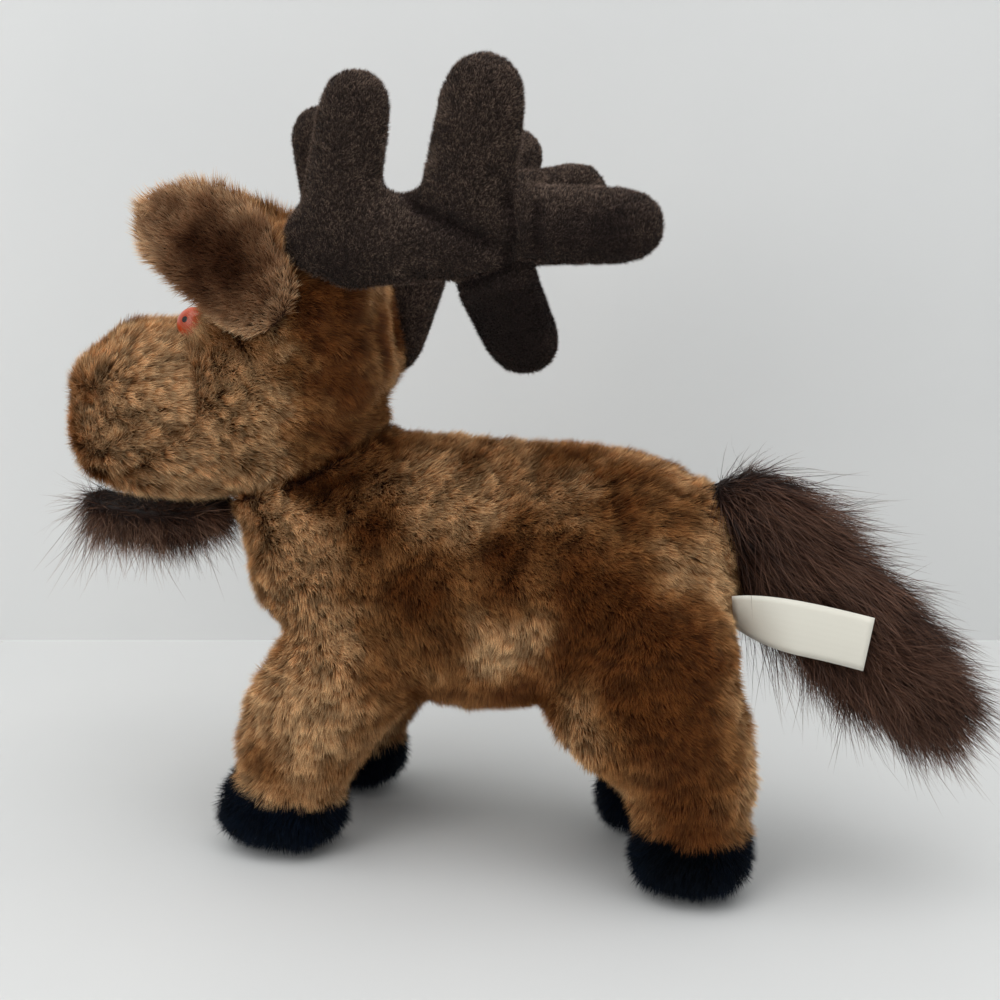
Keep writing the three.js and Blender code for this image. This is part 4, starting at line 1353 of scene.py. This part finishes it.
@dataclass
class Head(Coated):
    """Cranium and muzzle: one stuffed skin with the pile of its covers on it, and the eyes."""

    voxel: float = 2.0 * MM
    inset: float = 4.2 * MM
    turn: float = 15.0
    touching: tuple[str, ...] = (
        "torso_cover_left", "torso_cover_right", "beard", "ear_back_left", "ear_back_right",
        "antler_inner_panel_left", "antler_inner_panel_right", "antler_outer_panel_left", "antler_outer_panel_right")
    coat: Pile = Pile(5.4 * MM, 0.22 * MM, 15.5, 34, frizz=0.22, tuft_size=2.0 * MM, tuft=0.55, flutter=0.7,
                      mottle=0.72, shortest=0.8)
    snout: float = 38 * MM
    snout_fade: float = 0.6
    nose_rise: float = 0.55
    face_sink: float = 0.15
    nose_lay: float = 0.2
    lash: float = 9 * MM
    lash_spread: float = 1.8
    lash_lay: float = 0.95
    lash_length: float = 0.6
    lash_painted_shade: float = 0.5
    bare: float = 0.1
    cloud: tuple[float, float, float] = (7 * MM, 0.3, 8.0)
    swirl: tuple[float, float, float] = (7 * MM, 0.7, 5.0)
    stroke_radius: float = 8 * MM
    creases: tuple[Crease, ...] = (
        Crease(((180, 345), (188, 375), (193, 415), (175, 435), (150, 452), (127, 468)), 1.6 * MM, 3.4 * MM),
        Crease(((84, 400), (93, 402)), 2.0 * MM, 2.0 * MM),
        Crease(((111, 431), (122, 426)), 2.0 * MM, 2.0 * MM),
    )
    # Partly the coat's own tone and partly painted shade: under the jaw, behind the cheek and below the antlers.
    patches: tuple[Patch, ...] = Patch.rows(
        (310, 290, 9, 0.6), (345, 310, 9, 0.45), (180, 333, 3, 0.6), (192, 372, 7, -0.5), (210, 394, 8, -0.8),
        (182, 455, 8, -0.4), (278, 484, 8, 1.0), (392, 405, 8, 0.4), (394, 330, 7, 0.7), (315, 362, 9, 0.35),
        (350, 455, 8, 0.4), (180, 420, 5, 0.3), (270, 330, 6, -0.3), (250, 350, 6, 0.4), (350, 380, 9, 0.3),
        (300, 420, 9, 0.15), (230, 395, 11, -0.6), (180, 472, 11, -0.5), (255, 468, 9, -0.5), (120, 350, 11, -0.5),
        (150, 400, 8, -0.3), (100, 425, 9, -0.5), (130, 430, 8, -0.3), (210, 403, 9, -0.4), (180, 455, 7, -0.2),
        (300, 318, 7, 0.4), (332, 365, 7, 0.35), (330, 430, 12, 0.45), (365, 450, 8, 0.4), (275, 478, 7, 0.6),
        (385, 425, 7, 0.4), (383, 318, 8, 0.9), (212, 405, 6, -0.4), (325, 455, 9, 0.2), (388, 405, 7, 0.2),
        (280, 480, 6, 0.4),
    )
    strokes: tuple[Stroke, ...] = Stroke.rows(
        (210, 400, 250, 385), (200, 450, 250, 435), (280, 400, 310, 395), (320, 380, 345, 410), (340, 340, 360, 375),
        (300, 440, 335, 440), (378, 300, 380, 340), (382, 350, 380, 395),
    )
    swells: tuple[Swell, ...] = Swell.rows(
        (130, 375, 9, 3.0), (165, 352, 8, 1.5),
    )
    drags: tuple[Drag, ...] = Drag.rows(
        (86, 372, 73, 362, 34), (122, 330, 116, 320, 30), (170, 509, 170, 494, 52), (235, 505, 235, 498, 34),
        (397, 325, 388, 328, 34), (98, 498, 101, 479, 40),
    )

    def build(self, shop: Workshop) -> list[bpy.types.Object]:
        """Builds the skin and its piles, and finishes the eyes."""
        covers = ["head_cover_left", "head_cover_right", "muzzle_cover"]
        skin = Skin([*covers, "head_stuffing"], self.voxel, self.inset, touching=self.touching)
        turn = math.radians(self.turn)
        rear = np.array([math.cos(turn), math.sin(turn), 0.0])
        low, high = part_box("muzzle_cover")
        mirror = Mirror((low + high) / 2, Vector((-math.sin(turn), math.cos(turn), 0)))
        skin.puff(self.pressure, self.fill_cap, self.held * (1 - skin.apart))
        self.shape(skin, shop.view, mirror)
        ahead = -(points_of(skin.mesh) @ rear)
        front = np.clip((ahead - ahead.max() + self.snout) / (self.snout_fade * self.snout), 0, 1)[:, None]
        skin.comb = rear + (self.nose_rise * front - self.face_sink) * np.array([0, 0, 1])
        beside = (points_of(skin.mesh) - np.array(mirror.point)) @ np.array(mirror.normal)
        skin.comb += self.part_out * np.sign(beside)[:, None] * np.array(mirror.normal)
        self.groom(skin, shop.view, mirror)
        skin.lay *= 1 + self.nose_lay * front[:, 0]
        eyes = [Eye(side) for side in Side]
        for eye in eyes:
            inward = np.array(eye.middle) - points_of(skin.mesh)
            inward /= np.linalg.norm(inward, axis=1)[:, None]
            near = skin.nearness([eye.middle], self.lash)
            share = np.clip(self.lash_spread * near, 0, 1)
            skin.comb += share[:, None] * (inward - skin.comb)
            skin.lay += share * (self.lash_lay - skin.lay)
            skin.reach = np.maximum(skin.reach, 1.0 + self.lash_length * share)
            # Painted shade in the socket round the eye.
            skin.shade += self.lash_painted_shade * near
            skin.reach[eye.under(points_of(skin.mesh))] = self.bare
        coats = {name: (self.coat, LIT_MUZZLE if name == "muzzle_cover" else PLUSH, "plush") for name in covers}
        pieces = shop.cover(skin, "head", coats)
        piece = skin.piece("head_skin", shop.finish(PLUSH_BACKING))
        pieces.append(shop.dress(piece, "head", "plush", "head_stuffing"))
        pieces += [piece for eye in eyes for piece in eye.build(shop)]
        return pieces


@dataclass
class Ear:
    """One ear: a flat pad with a shorn dark front and a plush back that curls over its rim."""

    side: Side
    voxel: float = 1.3 * MM
    inset: float = 1.8 * MM
    front: Pile = Pile(4.6 * MM, 0.23 * MM, 15.0, 42, frizz=0.3, tuft_size=1.9 * MM, tuft=0.55, flutter=0.6)
    back: Pile = Pile(6.2 * MM, 0.25 * MM, 15.0, 42, frizz=0.35, tuft_size=2.4 * MM, tuft=0.6, flutter=0.7)
    half_size: float = 20 * MM
    pressure: float = 4.0

    @staticmethod
    def root(box: tuple[Vector, Vector]) -> Vector:
        """Where the ear is sewn on: the rear lower end of its box."""
        low, high = box
        return Vector((high.x, (low.y + high.y) / 2, low.z))

    def build(self, shop: Workshop) -> list[bpy.types.Object]:
        """Builds the pad and its piles."""
        side = self.side.value
        front, back = f"ear_front_{side}", f"ear_back_{side}"
        skin = Skin([front, back], self.voxel, self.inset, touching=("head_cover_left", "head_cover_right"))
        skin.puff(self.pressure, 0.8 * MM, skin.seam(front, back, 0.5 * MM))
        places = points_of(skin.mesh)
        middle = places.mean(0)
        outward = (places - middle) / self.half_size
        tip = np.array(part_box(front)[0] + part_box(front)[1]) / 2 - np.array(self.root(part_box(front)))
        tip /= np.linalg.norm(tip)
        up = outward @ tip
        across = np.linalg.norm(outward - up[:, None] * tip, axis=1)
        skin.comb = tip + 0.7 * outward * np.hypot(up, across)[:, None]
        skin.ruffle(6 * MM, 0.5, 9.0)
        skin.flatten_comb()
        skin.shade = np.clip(1.45 - 1.6 * np.hypot(0.75 * up + 0.03, 1.15 * across), 0, 1)
        skin.add_cloud(5 * MM, 0.3, 4.0)
        skin.lay = 1.15 - 0.75 * skin.shade
        coats = {front: (self.front, SHORN, "shorn_plush"), back: (self.back, PLUSH, "plush")}
        pieces = shop.cover(skin, f"ear_{side}", coats)
        piece = skin.piece(f"ear_skin_{side}", shop.finish(PLUSH_BACKING))
        return [*pieces, shop.dress(piece, f"ear_{side}", "plush")]


@dataclass
class Antler:
    """One antler: a fleece pad of two panels with a short nap."""

    side: Side
    voxel: float = 1.5 * MM
    inset: float = 0.2 * MM
    nap: Pile = Pile(1.4 * MM, 0.15 * MM, 14.0, 38, frizz=0.6, tuft_size=0.9 * MM, tuft=0.6, flutter=0.3, mottle=0.65)
    # Painted shade on parts of the antler that the light misses, the lower tine most.
    patches: tuple[Patch, ...] = Patch.rows(
        (512, 330, 14, 1.5), (620, 235, 10, 0.45), (575, 235, 9, 0.35), (440, 240, 8, 0.25), (330, 270, 7, 0.35),
    )
    pressure: float = 40.0
    swollen: float = 2.6 * MM
    groove: float = 0.5 * MM
    # Pinch creases; pressing them also paints shade into them.
    creases: tuple[Crease, ...] = (
        Crease(((508, 200), (512, 240), (506, 262)), 1.8 * MM, 2.4 * MM),
        Crease(((537, 208), (535, 232), (538, 250)), 1.6 * MM, 2.0 * MM),
        Crease(((417, 209), (452, 227), (489, 245)), 2.2 * MM, 2.6 * MM),
        Crease(((396, 188), (406, 200), (417, 209)), 1.8 * MM, 1.6 * MM),
        Crease(((452, 290), (490, 279), (528, 264)), 1.8 * MM, 2.8 * MM),
    )

    def build(self, shop: Workshop) -> list[bpy.types.Object]:
        """Builds the pad and its naps."""
        side = self.side.value
        panels = [f"antler_{layer}_panel_{side}" for layer in ("outer", "inner")]
        skin = Skin([*panels, f"antler_stuffing_{side}"], self.voxel, self.inset, rounds=4)
        seam = skin.seam(*panels, 0.8 * MM)
        skin.puff(self.pressure, self.swollen, 0.6 * seam)
        put_points(skin.mesh, points_of(skin.mesh) - normals_of(skin.mesh) * (self.groove * seam)[:, None])
        # Painted shade along the seam's groove.
        skin.shade += 0.5 * seam
        if self.side is Side.LEFT:
            skin.press(shop.view, self.creases)
            skin.add_patches(shop.view, self.patches)
        skin.add_cloud(10 * MM, 0.25, 6.0)
        skin.comb = np.tile([0.3, 0.0, 0.6], (len(skin.mesh.vertices), 1))
        skin.ruffle(4 * MM, 1.2, 7.0)
        skin.flatten_comb()
        pieces = shop.cover(skin, f"antler_{side}", {name: (self.nap, NAP, "fleece") for name in panels}, "nap")
        piece = skin.piece(f"antler_pad_{side}", shop.finish(FLEECE))
        return [*pieces, shop.dress(piece, f"antler_{side}", "fleece", f"antler_stuffing_{side}")]


@dataclass
class Brush:
    """A bundle of long hair on a core of backing: the tail or the beard."""

    name: str
    body: str
    nodes: tuple[str, ...]
    core_node: str | None
    flow: Way
    touching: tuple[str, ...]
    inset: float
    hair: Pile
    voxel: float = 1.8 * MM
    fan: float = 0.2
    fan_lift: float = 0.6
    root_trim: float = 0.4
    splay: float = 0.0
    taper: float = 0.45
    ragged: float = 0.5
    sag: float = 0.0
    rounds: int = 4
    rear_painted_shade: float = 0.0
    finish: PileFinish = HAIR

    def build(self, shop: Workshop) -> list[bpy.types.Object]:
        """Builds the core and its hair."""
        core = [self.core_node] if self.core_node else []
        skin = Skin([*self.nodes, *core], self.voxel, self.inset, touching=self.touching)
        skin.smooth(self.rounds)
        flow = np.array(self.flow) / np.linalg.norm(self.flow)
        skin.comb = np.tile(flow, (len(skin.mesh.vertices), 1))
        along = points_of(skin.mesh) @ flow
        share = (along - along.min()) / (along.max() - along.min())
        start = np.clip(1 - share / self.fan, 0, 1)
        skin.reach = (1.0 - self.taper * share**2) * (1 - self.root_trim * start)
        skin.lay = 1 - self.fan_lift * start
        skin.add_cloud(5 * MM, 1.0, 12.0)
        skin.reach *= 1 + self.ragged * np.clip(skin.shade, -1, 1)
        skin.shade[:] = 0
        below = points_of(skin.mesh) @ np.array([flow[2], 0.0, -flow[0]])
        skin.reach *= 1 + self.sag * ((below - below.min()) / (below.max() - below.min()) * 2 - 1)
        ahead = points_of(skin.mesh)[:, 0]
        behind = (ahead - ahead.mean()) / (ahead.max() - ahead.min()) * 2
        skin.comb[:, 0] += self.splay * behind
        skin.ruffle(9 * MM, 0.5, 3.0)
        skin.add_cloud(6 * MM, 0.8, 5.0)
        # Painted shade towards the rear of the hair, where the beard lies under the jaw; the front stays lighter.
        skin.shade += self.rear_painted_shade * (0.5 + behind)
        piece = shop.grower.grow(f"{self.name}_hair", self.whole(skin), self.hair, shop.finish(self.finish))
        pieces = [shop.dress(piece, self.body, "long_hair", *self.nodes)]
        piece = skin.piece(f"{self.name}_core", shop.finish(HAIR_BACKING))
        return [*pieces, shop.dress(piece, self.body, "long_hair", *core)]

    @staticmethod
    def whole(skin: Skin) -> bpy.types.Mesh:
        """The whole skin as one ground for the hair."""
        ground = bmesh.new()
        for part in skin.regions().values():
            ground.from_mesh(part)
        bmesh.ops.remove_doubles(ground, verts=ground.verts, dist=1e-6)
        mesh = bpy.data.meshes.new("hair_ground")
        ground.to_mesh(mesh)
        ground.free()
        return mesh


@dataclass
class Label:
    """The bare satin ribbon: one strip folded in two and caught in the rump seam."""

    width: float = 14.5 * MM
    shown: float = 36 * MM
    layer: float = 0.22 * MM
    gap: float = 0.4 * MM
    aside: float = 6.0 * MM
    bow: float = 0.8 * MM
    droop: float = 7.0
    raised: float = 3.6 * MM
    lean: float = 9.0
    roll: float = 40.0
    cup: float = 0.5 * MM
    weave: float = 1.6 * MM
    steps: int = 24
    across: int = 8

    def build(self, shop: Workshop) -> list[bpy.types.Object]:
        """Builds the ribbon inside the space of its CAD node.

        Args:
            shop: What the piece is made with.

        Returns:
            The ribbon.
        """
        low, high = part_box("label_ribbon")
        root = Vector((low.x, high.y - self.layer, (low.z + high.z) / 2 + self.raised))
        droop = Matrix.Rotation(math.radians(self.droop), 3, "Y")
        spine = []
        for k in range(self.steps + 1):
            share = k / self.steps
            aside = -self.aside * math.sin(min(1.0, share / 0.55) * math.pi / 2)
            bow = self.bow * math.sin(share * math.pi)
            spine.append(root + droop @ Vector((share * self.shown, aside, 0)) + Vector((0, 0, bow)))
        route = [(point, -self.gap / 2, k) for k, point in enumerate(spine)]
        route += [(point, self.gap / 2, k) for point, _, k in reversed(route)]
        work, rows = bmesh.new(), []
        for point, offset, k in route:
            row = []
            roll = math.radians(self.roll) * max(0.0, 1 - k / self.steps / 0.5) ** 1.5
            lean = math.radians(self.lean) * k / self.steps
            up = Matrix.Rotation(lean, 3, "Y") @ (Matrix.Rotation(roll, 3, "X") @ Vector((0, 0, 1)))
            for j in range(self.across + 1):
                share = j / self.across - 0.5
                cup = self.cup * (1 - (2 * share) ** 2)
                row.append(work.verts.new(point + up * share * self.width + Vector((0, offset - cup, 0))))
            rows.append(row)
        layer = work.loops.layers.uv.new("ribbon")
        for k, (here, there) in enumerate(zip(rows, rows[1:])):
            for j in range(self.across):
                face = work.faces.new((here[j], there[j], there[j + 1], here[j + 1]))
                for loop, (u, v) in zip(face.loops, ((k, j), (k + 1, j), (k + 1, j + 1), (k, j + 1))):
                    loop[layer].uv = (u * self.weave, v * self.width / self.across)
        bmesh.ops.recalc_face_normals(work, faces=work.faces)
        mesh = bpy.data.meshes.new("label")
        work.to_mesh(mesh)
        work.free()
        rough = new_object("label", mesh)
        thick = rough.modifiers.new("layer", "SOLIDIFY")
        thick.thickness = self.layer
        piece = new_object("label_satin", evaluated(rough))
        piece.data.materials.append(shop.finish(SatinFinish()))
        piece.data.shade_smooth()
        return [shop.dress(piece, "label", "ribbon", "label_ribbon")]


@dataclass
class Studio:
    """A pale table that meets a pale wall, and soft light from above."""

    wall_distance: float = 196 * MM
    cove: float = 0.2 * MM
    size: float = 1.6

    def build(self, view: PhotoView) -> None:
        """Makes the table and wall, the lights and the world.

        Args:
            view: Where the photograph was taken from.
        """
        outward = Vector((view.outward.x, view.outward.y, 0)).normalized()
        across = Vector((-outward.y, outward.x, 0))
        foot = Vector((view.target.x, view.target.y, 0)) - outward * self.wall_distance
        curve = [(self.cove * (1 - math.sin(math.radians(t))), self.cove * (1 - math.cos(math.radians(t))))
                 for t in range(0, 91, 15)]
        floor = [(self.size, 0.0), (-self.size, 0.0)]
        self.sheet("table", foot, outward, across, floor, self.paint("table_paint", 213))
        self.sheet("wall", foot, outward, across, [*curve, (0.0, self.size)], self.one_sided("wall_paint", 226))
        self.light("sky_light", view.target + outward * 0.15 + Vector((0, 0, 0.95)), view.target, 1.35, 11.5)
        beside = view.target + outward * 0.8 - across * 0.7 + Vector((0, 0, 0.55))
        self.light("window_light", beside, view.target, 0.7, 3.0)
        world = bpy.data.worlds.new("room")
        world.use_nodes = True
        world.node_tree.nodes["Background"].inputs["Color"].default_value = (0.93, 0.96, 1.0, 1.0)
        world.node_tree.nodes["Background"].inputs["Strength"].default_value = 0.48
        bpy.context.scene.world = world
        bpy.context.scene.view_settings.view_transform = "Standard"

    def sheet(self, name: str, foot: Vector, outward: Vector, across: Vector, profile: list[tuple[float, float]],
              material: bpy.types.Material) -> None:
        """A broad sheet with that profile.

        Args:
            name: Its name.
            foot: Where the wall meets the table.
            outward: From the wall towards the camera, level.
            across: Along the wall.
            profile: Distances from the wall and heights, from the near side.
            material: Its paint.
        """
        places = [foot + outward * ahead + across * side * self.size + Vector((0, 0, height))
                  for ahead, height in profile for side in (-1, 1)]
        faces = [(2 * k, 2 * k + 1, 2 * k + 3, 2 * k + 2) for k in range(len(profile) - 1)]
        mesh = bpy.data.meshes.new(name)
        mesh.from_pydata([tuple(place) for place in places], [], faces)
        mesh.materials.append(material)
        new_object(name, mesh)

    @staticmethod
    def paint(name: str, level: int) -> bpy.types.Material:
        """Plain matt paint, a little mottled."""
        material, sketch, surface = new_material(name)
        place = sketch.add("ShaderNodeTexCoord").outputs["Object"]
        cloud = sketch.add("ShaderNodeTexNoise", {"Vector": place, "Scale": 9.0, "Detail": 2.0}).outputs[0]
        tint = sketch.mix(cloud, srgb(level - 4, level - 3, level - 4), srgb(level + 4, level + 4, level + 2))
        sketch.tree.links.new(tint, surface.inputs["Base Color"])
        surface.inputs["Roughness"].default_value = 0.75
        surface.inputs["Specular IOR Level"].default_value = 0.2
        return material

    def one_sided(self, name: str, level: int) -> bpy.types.Material:
        """The same paint, with nothing to see from behind, so that it never hides the toy."""
        material = self.paint(name, level)
        sketch = NodeSketch(material.node_tree)
        behind = sketch.add("ShaderNodeNewGeometry").outputs["Backfacing"]
        clear = sketch.add("ShaderNodeBsdfTransparent").outputs[0]
        front = material.node_tree.nodes["Principled BSDF"].outputs[0]
        both = sketch.add("ShaderNodeMixShader", {0: behind, 1: front, 2: clear}).outputs[0]
        sketch.tree.links.new(both, material.node_tree.nodes["Material Output"].inputs["Surface"])
        return material

    @staticmethod
    def light(name: str, place: Vector, target: Vector, size: float, power: float) -> None:
        """A square soft light that faces the target.

        Args:
            name: The light's name.
            place: Where it hangs.
            target: What it faces.
            size: Its side, in metres.
            power: Its power, in watts.
        """
        data = bpy.data.lights.new(name, "AREA")
        data.size, data.energy = size, power
        lamp = bpy.data.objects.new(name, data)
        lamp.location = place
        lamp.rotation_euler = (place - target).to_track_quat("Z", "Y").to_euler()
        bpy.context.scene.collection.objects.link(lamp)


TAIL = Brush(
    "tail", "tail", ("tail_pile",), "tail_sleeve", (0.731, 0.0, -0.682),
    ("torso_cover_left", "torso_cover_right"), 6 * MM,
    Pile(22 * MM, 0.16 * MM, 6.8, 62, frizz=0.35, tuft_size=5 * MM, tuft=0.7, flutter=1.2, curl=0.3, shortest=0.4,
         rows=((0, 0, 1), (0.35, 0.0, 1), (0.7, 0.06, 0.7), (1, 0.2, 0))), fan_lift=0.25, root_trim=0.4, sag=0.12)
BEARD = Brush(
    "beard", "head", ("beard",), None, (0.2, 0.0, -0.98),
    ("muzzle_cover", "head_cover_left", "head_cover_right"), 6.2 * MM,
    Pile(12.5 * MM, 0.13 * MM, 5.6, 60, frizz=0.6, tuft_size=4 * MM, tuft=0.9, flutter=1.3, curl=0.55, shortest=0.15,
         rows=((0, 0, 1), (0.35, 0.0, 1), (0.7, 0.06, 0.7), (1, 0.2, 0))), fan_lift=0.2, root_trim=0.2, splay=0.6,
    ragged=0.65, rear_painted_shade=0.5, finish=BEARD_HAIR)


def clear_ribbon(hair: bpy.types.Object, corners: int, ribbon: bpy.types.Object, margin: float) -> None:
    """Takes away each hair that would stand through a ribbon or lie on it. The ribbon faces -Y.

    Args:
        hair: The hair.
        corners: Vertices of one blade.
        ribbon: The ribbon.
        margin: How far beyond its edges it is kept clear.
    """
    faces = [tuple(face.vertices) for face in ribbon.data.polygons]
    tree = BVHTree.FromPolygons([Vector(place) for place in points_of(ribbon.data)], faces)
    low, high = points_of(ribbon.data).min(0) - margin, points_of(ribbon.data).max(0) + margin
    blades = points_of(hair.data).reshape(-1, corners, 3)
    rows = np.concatenate([blades[:, :-1:2], blades[:, -1:]], 1)
    shares = np.linspace(0, 1, 5)[None, None, :, None]
    between = (rows[:, :-1, None] * (1 - shares) + rows[:, 1:, None] * shares).reshape(len(blades), -1, 3)
    beside = ((between > low) & (between < high))[:, :, [0, 2]].all(2)
    spent = []
    for index in np.flatnonzero(beside.any(1)):
        for place in between[index][beside[index]]:
            nearest = tree.find_nearest(Vector(place))[0]
            ahead = place[1] < nearest.y + margin / 4
            if ahead and math.hypot(nearest.x - place[0], nearest.z - place[2]) < margin:
                spent += range(index * corners, (index + 1) * corners)
                break
    work = bmesh.new()
    work.from_mesh(hair.data)
    work.verts.ensure_lookup_table()
    bmesh.ops.delete(work, geom=[work.verts[index] for index in spent], context="VERTS")
    work.to_mesh(hair.data)
    work.free()
    LOG.info("%d hairs taken from before the ribbon", len(spent) // corners)


def main() -> None:
    """Builds the toy piece by piece, then the studio round it."""
    logging.basicConfig(level=logging.INFO, format="%(name)s: %(message)s")
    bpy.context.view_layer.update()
    view = PhotoView()
    view.place_camera()
    shop = Workshop(view, ShaderGroups(), PileGrower())
    parts = [Body(), Head(), *(Ear(side) for side in Side), *(Antler(side) for side in Side), TAIL, BEARD, Label()]
    made = {}
    for part in parts:
        pieces = part.build(shop)
        made |= {piece.name: piece for piece in pieces}
        LOG.info("%s: %s", type(part).__name__, ", ".join(piece.name for piece in pieces))
    clear_ribbon(made["tail_hair"], TAIL.hair.corners, made["label_satin"], 1 * MM)
    Studio().build(view)


if __name__ == "__main__":
    main()
